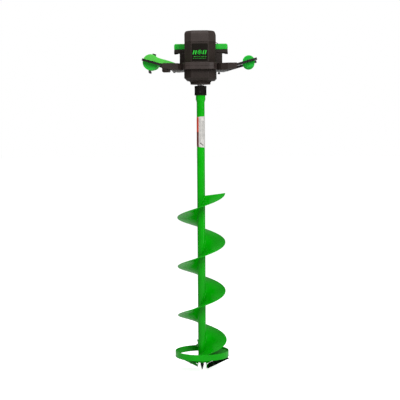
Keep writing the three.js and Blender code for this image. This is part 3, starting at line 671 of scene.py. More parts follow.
# %% The tree of the flight
def spiral_tree():
    tree, given = new_tree(
        "spiral plate", "Turns", "Pitch", "Top", "Start Angle", "Inner Radius", "Outer Radius",
        "Wide Radius", "Wide From", "Wide To", "Thickness", "Top Slant", "End Lift", "Finish")
    size = combine(tree, 1.0, given["Turns"], given["Thickness"])
    steps = math_node(tree, "MULTIPLY_ADD", given["Turns"], 72, 1)
    inputs = {"Size": size, "Vertices X": 12, "Vertices Y": steps, "Vertices Z": 2}
    plate = node(tree, "GeometryNodeMeshCube", inputs).outputs["Mesh"]
    flat = separate(tree, node(tree, "GeometryNodeInputPosition").outputs[0])
    outwards = math_node(tree, "ADD", flat[0], 0.5)
    below = math_node(tree, "MULTIPLY_ADD", given["Turns"], 0.5, flat[1])
    slant = math_node(tree, "MULTIPLY", math_node(tree, "SUBTRACT", 1, outwards), given["Top Slant"])
    along = math_node(tree, "MULTIPLY_ADD", slant, ramp(tree, below, 0, 0.25, 1, 0), below)
    rim = ramp(tree, along, given["Wide From"], given["Wide To"], given["Outer Radius"], given["Wide Radius"])
    reach = math_node(tree, "MULTIPLY", outwards, math_node(tree, "SUBTRACT", rim, given["Inner Radius"]))
    radius = math_node(tree, "ADD", reach, given["Inner Radius"])
    angle = math_node(tree, "MULTIPLY_ADD", along, -TURN, given["Start Angle"])
    lift_from = math_node(tree, "SUBTRACT", given["Turns"], 0.25)
    lift = math_node(tree, "MULTIPLY", ramp(tree, along, lift_from, given["Turns"]), given["End Lift"])
    fall = math_node(tree, "SUBTRACT", given["Top"], math_node(tree, "MULTIPLY", along, given["Pitch"]))
    rise = math_node(tree, "MULTIPLY_ADD", reach, lift, math_node(tree, "ADD", fall, flat[2]))
    x = math_node(tree, "MULTIPLY", radius, math_node(tree, "COSINE", angle))
    y = math_node(tree, "MULTIPLY", radius, math_node(tree, "SINE", angle))
    wound = node(tree, "GeometryNodeSetPosition", {"Geometry": plate, "Position": combine(tree, x, y, rise)})
    end_tree(tree, wound.outputs[0], given["Finish"])
    return tree


SPIRAL = spiral_tree()
PITCH = 177.8
PLATE = 2.5
TUBE_RADIUS = 14.3
ROOT = TUBE_RADIUS + 0.6
ring_low, ring_high = corners("cutter_ring")
RING_REACH = ring_high.x - 3.5
flight_top = corners("flight_section_1")[1].z - PLATE / 2
main_flight = {"turns": 3.5, "pitch": PITCH, "top": flight_top, "start_angle": 0.0, "inner_radius": ROOT,
               "outer_radius": 87.0, "wide_radius": RING_REACH, "wide_from": 2.75, "wide_to": 3.25,
               "thickness": PLATE, "top_slant": 0.05, "end_lift": 0.5}
lower_flight = {**main_flight, "turns": 0.5, "top": flight_top - 3 * PITCH, "start_angle": math.pi,
                "outer_radius": ROOT + 3, "wide_from": 0.08, "wide_to": 0.27, "top_slant": 0.0}
print(f"the flight starts at {flight_top:.0f} mm and ends at {flight_top - 3.5 * PITCH:.0f} mm")

# %% Both flights
def flight_piece(name, sizes, *nodes):
    shape = closed(grown(SPIRAL, bmesh.new(), finish=finishes["green_paint"], **sizes))
    carrier = object_with("plate", shape)
    bevel = carrier.modifiers.new("pressed edge", "BEVEL")
    bevel.width = 0.7
    bevel.segments = 2
    bevel.angle_limit = math.radians(50)
    mesh = evaluated(carrier)
    bpy.data.objects.remove(carrier)
    mesh.transform(Matrix.Scale(MM, 4))
    return piece(name, mesh, "auger", "green_paint", *nodes, in_metres=True)


flight_piece("flight", main_flight, *(f"flight_section_{n}" for n in range(1, 5)))
flight_piece("second_flight", lower_flight, "lower_flight")

# %% [markdown]
# ### Welds
#
# A weld bead is a row of small overlapping puddles. It runs where the flight meets the tube, on top
# and underneath. The tree bends a straight line of points into a spiral, turns it into a curve, and
# sweeps a circle along it. The circle swells and shrinks at every puddle, with a little noise on top.

# %% Weld beads
PUDDLES = 96  # points along one turn of a bead


def bead_tree():
    tree, given = new_tree("weld bead", "Turns", "Pitch", "Top", "Start Angle", "Radius", "Bead", "Finish")
    count = math_node(tree, "MULTIPLY_ADD", given["Turns"], PUDDLES, 2)
    count = node(tree, "FunctionNodeFloatToInt", {0: count})
    line = node(tree, "GeometryNodeMeshLine", {"Count": count.outputs[0]}).outputs[0]
    index = node(tree, "GeometryNodeInputIndex").outputs[0]
    along = math_node(tree, "DIVIDE", index, PUDDLES)
    angle = math_node(tree, "MULTIPLY_ADD", along, -TURN, given["Start Angle"])
    z = math_node(tree, "SUBTRACT", given["Top"], math_node(tree, "MULTIPLY", along, given["Pitch"]))
    x = math_node(tree, "MULTIPLY", given["Radius"], math_node(tree, "COSINE", angle))
    y = math_node(tree, "MULTIPLY", given["Radius"], math_node(tree, "SINE", angle))
    spiral = node(tree, "GeometryNodeSetPosition", {"Geometry": line, "Position": combine(tree, x, y, z)})
    curve = node(tree, "GeometryNodeMeshToCurve", {"Mesh": spiral.outputs[0]}).outputs[0]
    wave = math_node(tree, "SINE", math_node(tree, "MULTIPLY", index, 2.1))
    ripple = math_node(tree, "MULTIPLY_ADD", wave, 0.1, 1)
    noise = node(tree, "ShaderNodeTexNoise", {"W": along, "Scale": 23.0}, noise_dimensions="1D").outputs[0]
    swell = math_node(tree, "MULTIPLY", given["Bead"], math_node(tree, "MULTIPLY_ADD", noise, 0.5, ripple))
    sized = node(tree, "GeometryNodeSetCurveRadius", {"Curve": curve, "Radius": swell}).outputs[0]
    section = node(tree, "GeometryNodeCurvePrimitiveCircle", {"Resolution": 8, "Radius": 1.0}).outputs[0]
    inputs = {"Curve": sized, "Profile Curve": section, "Fill Caps": True}
    end_tree(tree, node(tree, "GeometryNodeCurveToMesh", inputs).outputs[0], given["Finish"])
    return tree


BEAD = bead_tree()


def bead(sizes, above, skip=0.0):
    top = sizes["top"] + above - skip * PITCH
    angle = sizes["start_angle"] - skip * TURN
    return grown(BEAD, bmesh.new(), turns=sizes["turns"] - skip, pitch=PITCH, top=top, start_angle=angle,
                 radius=TUBE_RADIUS + 0.2, bead=1.15, finish=finishes["green_paint"])


beads = [bead(sizes, above, skip) for sizes, skip in ((main_flight, 0.05), (lower_flight, 0.02))
         for above in (PLATE / 2 + 0.6, -PLATE / 2 - 0.6)]
piece("flight_welds", closed(joined(*beads)), "auger", "green_paint", sharp=70)

# %% [markdown]
# ### Tube, sleeve and ring
#
# The tube is a plain 28.6 mm pipe. A wider sleeve is pressed over its top to take the motor's shaft.
# These are turned pieces, so each is a profile. The ring that steadies the cut is a flat hoop.

# %% Turned steel
tube_low, tube_high = corners("auger_tube")
shaft_radius = corners("output_shaft")[1].x
bore = shaft_radius + 0.3
sleeve = tube_high.x
sleeve_low = corners("coupling_collar")[0].z - 22
tube_profile = rounded([
    (bore, tube_low.z), (TUBE_RADIUS, tube_low.z), (TUBE_RADIUS, sleeve_low), (sleeve, sleeve_low + 6),
    (sleeve, tube_high.z), (bore, tube_high.z),
], 0.8, 4, closed_up=False)
piece("tube", turned(tube_profile, 80, ring=True), "auger", "green_paint", "auger_tube")
# A fillet of weld runs round the pipe where the sleeve begins.
weld = [(TUBE_RADIUS - 0.3, sleeve_low - 1.6), (TUBE_RADIUS + 0.9, sleeve_low - 0.6),
        (TUBE_RADIUS + 1.1, sleeve_low + 1), (TUBE_RADIUS - 0.3, sleeve_low + 1)]
piece("sleeve_weld", turned(weld, 60, ring=True), "auger", "green_paint")

hoop_profile = rounded(oblong(ring_high.x - 3, ring_low.z, ring_high.x, ring_high.z), 0.8, 3)
piece("cutting_ring", turned(hoop_profile, 160, ring=True), "auger", "green_paint", "cutter_ring")
shaft_low, shaft_high = corners("output_shaft")
shaft = turned([(0, shaft_low.z), (shaft_radius - 1, shaft_low.z), (shaft_radius, shaft_low.z + 1),
                (shaft_radius, shaft_high.z - 1), (shaft_radius - 1, shaft_high.z), (0, shaft_high.z)], 64)
piece("motor_output_shaft", shaft, "auger", "steel", "output_shaft")

# %% [markdown]
# ### Coupling
#
# The black collar slides over the sleeve and hides the cross pin. Its grip is a ring of upright ribs,
# so one rib is made with a rounded back and the ring tree turns 36 copies of it about the drill. Its
# height is set a little below the collar's two rims.

# %% Collar and pin
collar_low, collar_high = corners("coupling_collar")
collar = collar_high.x
collar_body = collar - 1.1
collar_profile = rounded([
    (sleeve + 0.3, collar_low.z), (collar - 1, collar_low.z), (collar, collar_low.z + 1.5),
    (collar, collar_low.z + 4.5), (collar_body, collar_low.z + 5.5), (collar_body, collar_high.z - 7),
    (collar, collar_high.z - 6), (collar, collar_high.z - 2), (collar - 2, collar_high.z),
    (shaft_radius + 0.4, collar_high.z), (shaft_radius + 0.4, tube_high.z + 0.3),
    (sleeve + 0.3, tube_high.z + 0.3),
], 0.5, 3, closed_up=False)
piece("collar", turned(collar_profile, 72, ring=True), "auger", "rubber", "coupling_collar")
rib_foot, rib_back = collar_body - 0.5, collar - 0.35
rib = slab([(rib_foot, -1.1), (rib_back, -0.7), (rib_back, 0.7), (rib_foot, 1.1)], collar_low.z + 5,
           collar_high.z - 6.5, 0.6, 0.3, towards="Z")
piece("collar_grip", ring_of(rib, 36, finishes["rubber"]), "auger", "rubber")

pin_low, pin_high = corners("drive_pin")
pin_radius = pin_high.x
pin_length = pin_high.y


def laid_along_y(shape, x, z):
    """Turns a piece that was made about Z so that it lies front to back."""
    bmesh.ops.rotate(shape, verts=shape.verts, matrix=Matrix.Rotation(-math.pi / 2, 3, "X"))
    return moved(shape, x, 0, z)


pin = turned([(0, -pin_length), (pin_radius - 1, -pin_length), (pin_radius, 1 - pin_length),
              (pin_radius, pin_length - 1), (pin_radius - 1, pin_length), (0, pin_length)], 40)
pin_height = (pin_low.z + pin_high.z) / 2
piece("cross_pin", laid_along_y(pin, 0, pin_height), "auger", "black_steel", "drive_pin")

# %% [markdown]
# ### Blades
#
# Two blades shave the ice. Each lies in a plane that rises outwards and backwards. The blades and
# their mounts are softened copies of the engineering solids. Each blade lies on a thicker mount, and two
# screws hold it from above. The screws are made flat and then sheared into the blade's plane, which
# `tilted` does; the left blade's screws are the right ones turned half round.

# %% Blades and their mounts
EDGE_INNER, EDGE_FRONT, RISE_OUT, RAKE = 20.0, -22.0, 0.48, 0.65
edge_low = corners("blade_right")[0].z


def tilted(shape, turned_round):
    base = edge_low - RISE_OUT * EDGE_INNER - RAKE * EDGE_FRONT
    for vert in shape.verts:
        vert.co.z += base + RISE_OUT * vert.co.x + RAKE * vert.co.y
        if turned_round:
            vert.co.x, vert.co.y = -vert.co.x, -vert.co.y
    return shape


def blade_screws():
    """Two socket-headed screws, made where they sit on the flat blade."""
    profile = rounded([(0, -6.5), (3, -6.5), (3, 3.3), (5.2, 3.3), (5.2, 5.7), (2.9, 5.7)], 0.5, 3,
                      closed_up=False)
    socket = [(2.6, 5.6), (2.4, 3.7), (0, 3.7)]
    return [moved(turned([*profile, *socket], 24), x, -8) for x in (42, 72)]


for side, turned_round in (("right", False), ("left", True)):
    softened(f"{side}_blade", f"blade_{side}", 0.35, "auger", "black_steel", blade_steel)
    softened(f"{side}_blade_mount", f"blade_mount_{side}", 0.5, "auger", "green_paint")
    for n, screw in enumerate(blade_screws()):
        piece(f"{side}_blade_screw_{n + 1}", tilted(screw, turned_round), "auger", "black_steel",
              f"blade_screw_{side}_{n + 1}")

# %% [markdown]
# ### Centre point and label
#
# The point is a short spike that keeps the drill from wandering as it starts. Two flats are ground on
# it. The label is a thin printed sleeve part of the way round the tube. It has its own UV, across and
# up, so that its stripe and its bars can be painted on with a few sums.

# %% Centre point
point_high = corners("center_point")[1]
plug = point_high.x
spike_profile = rounded([
    (0, 0), (1.4, 0.9), (6, 17), (6, tube_low.z + 4), (plug, tube_low.z + 8), (plug, point_high.z - 1),
    (plug - 1, point_high.z), (0, point_high.z)], 0.6, 3, closed_up=False)
spike = turned(spike_profile, 48)
flats = [bar(side * 7.2 - 2.6, side * 7.2 + 2.6, -9, 9, -1, 15.5, 0.2) for side in (-1, 1)]
piece("spike", cut(spike, *flats), "auger", "black_steel", "center_point")

# %% The label's print
def printed_label():
    made, tree, shader, place = surface("printed label", Specular_IOR_Level=0.4)
    flat = node(tree, "ShaderNodeUVMap", uv_map="print").outputs[0]
    across, up = separate(tree, flat)[:2]
    paper = blend(tree, grain(tree, place, 11, 3), (0.62, 0.60, 0.57), (0.56, 0.54, 0.51))

    def band(value, low, high, soft=0.15):
        return math_node(tree, "MULTIPLY", ramp(tree, value, low - soft, low + soft),
                         ramp(tree, value, high - soft, high + soft, 1, 0))

    stripe = band(across, -1, 12.5)
    upper = ramp(tree, up, 56, 57)
    stripe_colour = blend(tree, upper, (0.13, 0.012, 0.004), (0.66, 0.045, 0.012))
    shown = blend(tree, stripe, paper, stripe_colour)
    # Grey bars stand where the words of warning would be.
    line = math_node(tree, "DIVIDE", up, 4.6)
    row = math_node(tree, "FRACT", line)
    length = grain(tree, combine(tree, 0.0, 0.0, math_node(tree, "FLOOR", line)), 1000, 0)
    reach = math_node(tree, "MULTIPLY_ADD", length, 16, 26)
    bar_height = band(row, 0.3, 0.62, 0.04)
    bars = math_node(tree, "MULTIPLY", bar_height, band(across, 15.5, 21.0))
    bars = math_node(tree, "MULTIPLY", bars, band(up, 22, 104))
    inside = math_node(tree, "LESS_THAN", across, reach)
    column = math_node(tree, "MULTIPLY", ramp(tree, across, 22.4, 22.6), inside)
    column = math_node(tree, "MULTIPLY", column, math_node(tree, "MULTIPLY", bar_height, band(up, 30, 98)))
    printed = math_node(tree, "MAXIMUM", bars, column)
    shown = blend(tree, math_node(tree, "MULTIPLY", printed, 0.75), shown, (0.16, 0.17, 0.17))
    slanted = math_node(tree, "MULTIPLY_ADD", across, 0.8, up)
    mark = math_node(tree, "MULTIPLY", band(across, 17, 30), band(slanted, 30, 34))
    shown = blend(tree, mark, shown, (0.05, 0.03, 0.03))
    wrinkles = grain(tree, place, 14, 2)
    dress(tree, shader, shown, ramp(tree, wrinkles, 0.3, 0.7, 0.3, 0.42), relief(tree, wrinkles, 0.15, 0.4))
    return made


finishes["label"] = printed_label()


def label_shape():
    """A curved patch with rounded corners and slanting ends, from its outline across and up the tube."""
    label_low, label_high = corners("tube_label")
    outer, inner = label_high.x, label_high.x - 0.4
    start, end = -2.9, 0.5
    width, tall = (end - start) * outer, label_high.z - label_low.z
    shape = bmesh.new()
    layer = shape.loops.layers.uv.new("print")
    columns = 56
    rows = {}
    for skin, radius in (("out", outer), ("in", inner)):
        for n in range(columns + 1):
            across = width * n / columns
            corner = 7.0
            near = min(across, width - across, corner)
            tuck = corner - math.sqrt(max(0.0, corner ** 2 - (corner - near) ** 2))
            angle = start + across / outer
            slope = 4.5 * min(1.0, across / 40)
            for m, up in enumerate((tuck + 4.5 - slope, tall * 0.33, tall * 0.66, tall - 4.5 + slope - tuck)):
                place = (radius * math.cos(angle), radius * math.sin(angle), label_low.z + up)
                rows[skin, n, m] = (shape.verts.new(place), across, up)

    def face(*keys):
        made = shape.faces.new([rows[key][0] for key in keys])
        for loop, key in zip(made.loops, keys):
            loop[layer].uv = rows[key][1:]

    for n in range(columns):
        for m in range(3):
            face(("out", n, m), ("out", n + 1, m), ("out", n + 1, m + 1), ("out", n, m + 1))
            face(("in", n, m), ("in", n, m + 1), ("in", n + 1, m + 1), ("in", n + 1, m))
        for m in (0, 3):
            face(("out", n, m), ("in", n, m), ("in", n + 1, m), ("out", n + 1, m))
    for n in (0, columns):
        for m in range(3):
            face(("out", n, m), ("out", n, m + 1), ("in", n, m + 1), ("in", n, m))
    return outwards(shape)


piece("label", label_shape(), "auger", "label", "tube_label")

# %% [markdown]
# ## The powerhead
#
# ### Motor cover and cap
#
# The head's tower is an octagon with a flat front. `TOWER` is its plan, and both the cover and the cap
# are mouldings of it: one profile runs up the outside and, for the hollow cover, down the inside
# again. The cap has a domed crown with a groove, so that its top catches a line of light.

# %% Plans of the tower and the cap
cover_low, cover_high = corners("motor_cover")
cap_low, cap_high = corners("top_cap")
side_x, front_y, back_y = cap_high.x, cap_low.y, cap_high.y
TOWER = both([(31, front_y), (side_x, -38), (side_x, 37), (47, back_y)])
cap_profile = rounded([
    (3, cap_high.z - 10), (3, cap_low.z), (0, cap_low.z), (0, cap_high.z - 12), (1, cap_high.z - 7.5),
    (3, cap_high.z - 4.2), (5.5, cap_high.z - 2.0), (8, cap_high.z - 0.9), (8.6, cap_high.z - 2.0),
    (10.2, cap_high.z - 2.0), (10.8, cap_high.z - 0.5), (13, cap_high.z),
], 0.5, 3, closed_up=False)
piece("cap", moulding(TOWER, 2.5, cap_profile), "powerhead", "cap_plastic", "top_cap")

# %% [markdown]
# The cover breathes through louvres. One louvre cutter is a thin rounded bar; the row tree stacks
# eight of them, and a Boolean modifier takes the stack out of both side walls. The front wall has a
# shallow seat for the badge.

# %% Motor cover
cover_profile = rounded([
    (0, cover_low.z), (0, cover_high.z - 1.2), (1.2, cover_high.z), (3, cover_high.z), (3, cover_low.z)],
    0.6, 3, closed_up=True)
seat = bar(-28.5, 28.5, front_y - 2, front_y + 1.6, 1114, 1177, 1.2)
louvre = slab([(-16, 1120), (16, 1122.4), (16, 1125), (-16, 1122.6)], -70, 70, 1.1, 0.2, towards="X")
louvres = row_of(louvre, 8, (0, 0, 6.6), finishes["black_plastic"])
cover = moulding(TOWER, 2.5, cover_profile, ring=True)
piece("cover", cut(cover, seat, louvres), "powerhead", "black_plastic", "motor_cover")

# %% [markdown]
# ### The badge
#
# A glossy plate fills the seat, and a snowflake stands out on it between two rows of slanted bars. A
# snowflake has six equal arms, so one arm is drawn and the ring tree turns it about the badge's axis.

# %% Badge
badge_low, badge_high = corners("badge_panel")
badge_plan = oblong(badge_low.x, badge_low.z, badge_high.x, badge_high.z)
badge_plate = slab(badge_plan, badge_low.y + 0.5, badge_high.y, 1.5, 0.25)
piece("badge", badge_plate, "powerhead", "black_plastic", "badge_panel", finish=panel_plastic)

print_low, print_high = badge_low.y, badge_low.y + 0.6
mark_z = badge_low.z + 31.5


def strip(start, end, width):
    """A flat bar on the badge from one point to another."""
    start, end = Vector(start), Vector(end)
    along = (end - start).normalized()
    across = Vector((-along.y, along.x)) * width / 2
    outline = [start - across, end - across, end + across, start + across]
    return slab(outline, print_low, print_high, 0.3, 0.1)


twigs = [strip((0, 4.6), (x, 7.2), 1.3) for x in (2.7, -2.7)]
arm = joined(strip((0, 0.6), (0, 8.2), 1.7), *twigs)
marks = [moved(ring_of(arm, 6, finishes["green_plastic"], about=(0, 1, 0)), z=mark_z)]
for side in (-1, 1):
    for x in (side * 13.4, side * 21.0):
        marks.append(strip((x - 1.8, mark_z - 7), (x + 1.8, mark_z + 7), 3.8))
for z in (badge_low.z + 16.5, badge_low.z + 10.5):
    marks.append(strip((-23.5, z), (23.5, z), 0.7))
piece("badge_mark", joined(*marks), "powerhead", "green_plastic", finish=finishes["green_plastic"])

# %% [markdown]
# A short strap runs from the cap's rear corner to the front of the battery. Its ends are rounded.

# %% Strap
strap_low, strap_high = cap_low.z + 0.2, cap_low.z + 9
strap = slab([(46, strap_high - 2), (62, strap_low - 1), (62, strap_low + 1.4), (46, strap_high + 0.4)],
             back_y - 1, back_y + 1.4, 0.9, 0.3)
piece("strap", strap, "powerhead", "black_plastic")

# %% [markdown]
# ### Waist, gearbox and nose
#
# A band clamps the tower to the gearbox. It is a frame in plan, wider in front. The gearbox tapers at
# its foot, and under it the nose carries the bearing and leads the eye down to the collar.

# %% Waist band
band_low, band_high = corners("waist_frame")
BAND = both([(34, -80), (50, -76), (62, -58), (62, 70), (50, 82)])
BAND_HOLE = both([(32.4, -62.8), (57, -38), (57, 63), (43, 77)])
rim_profile = rounded([(3, band_low.z), (0, band_low.z), (0, band_high.z), (3, band_high.z)], 1.6, 4,
                      closed_up=False)
band_shape = moulding(BAND, 3, [(5, band_low.z), *rim_profile, (5, band_high.z)])
hole = moulding(BAND_HOLE, 1.2, [(0, band_low.z - 2), (0, band_high.z + 2)])
groove_profile = rounded([(-3, 1097), (1.1, 1097.3), (1.1, 1098.4), (-3, 1098.7)], 0.3, 2)
grooves = moulding(BAND, 3, groove_profile, ring=True)
piece("waist_band", cut(band_shape, hole, grooves), "powerhead", "cap_plastic", "waist_frame")

# %% Gearbox
box_low, box_high = corners("gearbox_housing")
GEARBOX = [(-42, 76), (-56.5, 62), (-56.5, -36), (-32, -60), (32, -60), (56.5, -36), (56.5, 62), (42, 76)]
housing_profile = rounded([
    (12, box_low.z), (7, box_low.z), (7, box_low.z + 1), (0, box_low.z + 7.4), (0, box_high.z),
    (5, box_high.z), (5, 1064), (12, 1064)], 0.7, 3, closed_up=False)
housing = moulding(GEARBOX, 5, housing_profile)
bores = [turned([(0, low), (radius, low), (radius, high), (0, high)], 56)
         for radius, low, high in ((14, box_low.z - 1, 1066), (20.3, box_low.z - 1, 1056.3))]
bearing_seat = moved(turned([(0, 1055.7), (5.3, 1055.7), (5.3, 1066), (0, 1066)], 40), y=37.5)
piece("gearbox", cut(housing, *bores, bearing_seat), "powerhead", "black_plastic", "gearbox_housing")

# %% [markdown]
# The nose is turned, and sixteen small gussets stiffen its flange. They are one rib and the ring tree.

# %% Nose
nose_low, nose_high = corners("gearbox_nose")
nose_profile = rounded([
    (20.3, nose_low.z + 5), (14.2, nose_low.z + 5), (14.2, nose_low.z), (36, nose_low.z),
    (36, nose_low.z + 6), (33, nose_low.z + 7.5), (nose_high.x, nose_high.z), (20.3, nose_high.z)], 0.7, 3)
piece("nose", turned(nose_profile, 72, ring=True), "powerhead", "black_plastic", "gearbox_nose")
gusset_low, gusset_high = nose_low.z + 6, nose_high.z - 0.6
gusset = slab([(32, gusset_low), (35.8, gusset_low), (41.6, gusset_high), (34, gusset_high)],
              -0.9, 0.9, 0.4, 0.25)
piece("nose_gussets", ring_of(gusset, 16, finishes["black_plastic"]), "powerhead", "black_plastic")

# %% [markdown]
# ### Battery and its bay
#
# The rear housing is a deep block with a bay for the battery's foot, and two legs that stand on the
# shoulders. It breathes through slots in its back. The battery has a black lower case and a green
# upper one. Its latches are paddles in notches at the ends, with ridges for the fingers.

# %% Rear housing
house_low, house_high = corners("rear_housing")
deck = house_high.z
shell_low = 1110.3
shell_profile = rounded([(5, shell_low), (0, shell_low), (0, deck), (5, deck)], 1.6, 4, closed_up=False)
shell = moulding(oblong(-77, 46, 77, 96), 4, [(8, shell_low), *shell_profile, (8, deck)])
bay = moulding(oblong(-51, 50, 51, 91), 3, [(0, 1117), (0, deck + 1)])
vent = slab(oblong(-36, 1124, -31.5, 1142), 94.6, 99, 2, 0.2)
vents = row_of(vent, 9, (8.45, 0, 0), finishes["black_plastic"])
piece("rear_housing_shell", cut(shell, bay, vents), "powerhead", "black_plastic", "rear_housing")
legs = [bar(side * 70 - 7, side * 70 + 7, 50, 80, house_low.z, 1112, 0.8) for side in (-1, 1)]
piece("rear_housing_legs", joined(*legs), "powerhead", "black_plastic")
contact = bar(-20, 20, 60, 80, 1116.5, 1121, 0.8)
contacts = row_of(bar(-15.4, -14, 63, 77, 1117.2, 1120.8, 0.2), 5, (7.35, 0, 0), finishes["copper"])
piece("terminal_block", contact, "powerhead", "black_plastic")
piece("terminals", contacts, "powerhead", "copper", sharp=30)

# %% Battery cases
lower_low, lower_high = corners("battery_lower_case")
upper_low, upper_high = corners("battery_upper_case")
front, back, half_width = lower_low.y, lower_high.y, lower_high.x
tray_low, tray_high = deck + 0.7, lower_high.z
tray_profile = rounded([(4, tray_low), (0, tray_low), (0, tray_high), (4, tray_high)], 1.2, 3,
                       closed_up=False)
tray = moulding(oblong(-half_width, front, half_width, back), 4,
                [(7, tray_low), *tray_profile, (7, tray_high)])
notches = [bar(side * 89.7 - 9.2, side * 89.7 + 9.2, 53, back - 6, deck - 1, 1158, 0.6) for side in (-1, 1)]
piece("battery_tray", cut(tray, *notches), "battery", "black_plastic", "battery_lower_case")
foot_profile = rounded([(3, lower_low.z), (0, lower_low.z), (0, deck + 1)], 1.5, 3, closed_up=False)
foot = moulding(oblong(-50, 51, 50, 90), 3, [(6, lower_low.z), *foot_profile, (6, deck + 1)])
piece("battery_foot", foot, "battery", "black_plastic")

lid = slab([(half_width, upper_low.z), (half_width, 1180), (93, upper_high.z), (-93, upper_high.z),
            (-half_width, 1180), (-half_width, upper_low.z)], front, back, 2.2, 2.2)
end_grooves = []
for side in (-1, 1):
    groove = slab(oblong(front + 8, 1167, back - 8, 1168.6), side * half_width - 0.8,
                  side * half_width + 0.8, 0.7, 0.2, towards="X")
    end_grooves.append(row_of(groove, 4, (0, 0, 3.2), finishes["green_plastic"]))
window = bar(-17, 17, back - 1, back + 2, 1168, 1178, 1.2)
piece("battery_lid", cut(lid, *end_grooves, window), "battery", "green_plastic", "battery_upper_case")
lamp = slab(oblong(-13.5, 1170.5, -7.5, 1175.5), back - 1.4, back - 0.5, 1, 0.2)
lamps = row_of(lamp, 4, (7, 0, 0), panel_plastic)
piece("charge_gauge", lamps, "battery", "black_plastic", finish=panel_plastic)

# %% Latches
for side_name, side in (("left", -1), ("right", 1)):
    latch_low, latch_high = corners(f"battery_latch_{side_name}")
    outline = [(84.5, 1149.5), (97.5, 1148), (97.5, 1157.7), (84.5, 1157.7)]
    outline = outline if side > 0 else [(-x, z) for x, z in reversed(outline)]
    paddle = slab(outline, latch_low.y, latch_high.y, 1.2, 0.8)
    furrow = bar(-0.7, 0.7, latch_low.y + 3, latch_low.y + 5, 1149.6, 1156.2, 0.3)
    furrows = row_of(moved(furrow, side * 96.9), 7, (0, 4.3, 0), finishes["rubber"])
    piece(f"{side_name}_latch", cut(paddle, furrows), f"latch_{side_name}", "rubber",
          f"battery_latch_{side_name}")

# %% [markdown]
# ### Shoulders, bars and braces
#
# The shoulders and the steel bars already have the right outline in the engineering model, so they
# only get the soft edges that a mould and a press leave. Under the shoulders sit the zinc-plated
# braces, held by hex-headed bolts.

# %% Shoulders and bars
for side_name in ("left", "right"):
    softened(f"{side_name}_shoulder", f"shoulder_{side_name}", 0.8, "powerhead", "black_plastic")
    softened(f"{side_name}_brace", f"brace_{side_name}", 0.35, "powerhead", "zinc")
    for place in ("front", "rear"):
        softened(f"{place}_{side_name}_bar", f"{place}_bar_{side_name}", 0.6, "powerhead", "black_steel")

# %% [markdown]
# A hexagon-headed bolt is a turned profile with a six-sided head on it. `hex_head` cuts the six flats
# from a round blank, so the chamfer under each corner comes out curved, as on a real bolt.

# %% Bolts
def hex_head(radius, low, high):
    """A hexagonal head about Z, whose corners reach the given radius."""
    profile = [(0, low), (radius * 0.84, low), (radius, low + 0.7), (radius, high), (0, high)]
    blank = turned(profile, 48)
    angles = [TURN * n / 6 for n in range(6)]
    six_sides = [(radius * math.cos(angle), radius * math.sin(angle)) for angle in angles]
    around = moulding(oblong(-20, -20, 20, 20), 1, [(0, low - 1), (0, high + 1)])
    hexagon = moulding(six_sides, 0.2, [(0, low - 2), (0, high + 2)])
    return cut(blank, cut(around, hexagon))


for side_name in ("left", "right"):
    bolt_low, bolt_high = corners(f"brace_bolt_{side_name}")
    middle = (bolt_low + bolt_high) / 2
    head = hex_head(4.2, bolt_low.z, bolt_low.z + 4)
    shank = turned([(0, bolt_low.z + 3.5), (3, bolt_low.z + 3.5), (3, bolt_high.z - 0.5), (2.5, bolt_high.z),
                    (0, bolt_high.z)], 24)
    bolt = moved(joined(head, shank), middle.x, middle.y)
    piece(f"{side_name}_brace_bolt", bolt, "powerhead", "black_steel", f"brace_bolt_{side_name}")

# %% [markdown]
# ### Grips
#
# Each grip turns round a steel axle that ties the front bar to the rear one. The rubber swells at its
# ends so that a mitten can't slide off, and rings are moulded round it. All of it is turned about Z
# first and then laid front to back.

# %% Axles
GRIP_X, GRIP_Z = 173.0, 1111.8
reach_y = corners("grip_axle_right")[1].y
for side_name, side in (("left", -1), ("right", 1)):
    half = [(11, 0), (11, 70.7), (2, 70.7), (2, 95.3), (4.6, 95.3), (4.6, reach_y - 0.8),
            (3.9, reach_y), (0, reach_y)]
    profile = [(radius, -height) for radius, height in reversed(half)][:-1] + half[1:]
    axle = turned([profile[0], *rounded(profile[1:-1], 0.3, 2, closed_up=False), profile[-1]], 40)
    piece(f"{side_name}_axle", laid_along_y(axle, side * GRIP_X, GRIP_Z), "powerhead", "black_steel",
          f"grip_axle_{side_name}")


# %% Rubber grips
def grip_profile(low, high, front_flange):
    """The rubber's outer profile from low to high, with a flange at each free end and rings between."""
    flange, barrel, inner, neck, wall = 21.5, 17.0, 11.3, 2.3, 3.4
    if front_flange:
        profile = [(inner, low + wall), (neck, low + wall), (neck, low), (flange - 2, low),
                   (flange, low + 2.2), (flange, low + 7), (barrel + 1, low + 13)]
        start = low + 16
    else:
        profile = [(inner, low), (barrel, low)]
        start = low + 5
    end = high - 16
    rings = int((end - start) / 4.6)
    step = (end - start) / rings
    valley = barrel - 0.9
    for n in range(rings):
        at = start + step * n
        profile += [(barrel, at), (barrel, at + step * 0.62),
                    (valley, at + step * 0.68), (valley, at + step * 0.94)]
    profile += [(barrel, end), (barrel + 1, high - 13), (flange, high - 7), (flange, high - 2.2)]
    return profile + [(flange - 2, high), (neck, high), (neck, high - wall), (inner, high - wall)]


def grip_shape(low, high, front_flange):
    return turned(rounded(grip_profile(low, high, front_flange), 0.7, 2), 72, ring=True)


end = corners("grip_right")[1].y
left_start = corners("grip_left")[0].y
right_grip = laid_along_y(grip_shape(-end, end, True), GRIP_X, GRIP_Z)
piece("right_grip", right_grip, "powerhead", "green_plastic", "grip_right", finish=grip_rubber)
left_grip = laid_along_y(grip_shape(left_start, end, False), -GRIP_X, GRIP_Z)
piece("left_grip", left_grip, "powerhead", "green_plastic", "grip_left", finish=grip_rubber)

# %% [markdown]
# ### Throttle
#
# The throttle's housing wraps the front of the left grip. Its cover and base, its trigger and its
# button are mouldings with a tight radius on every edge. The cover's duct is of a lighter green.

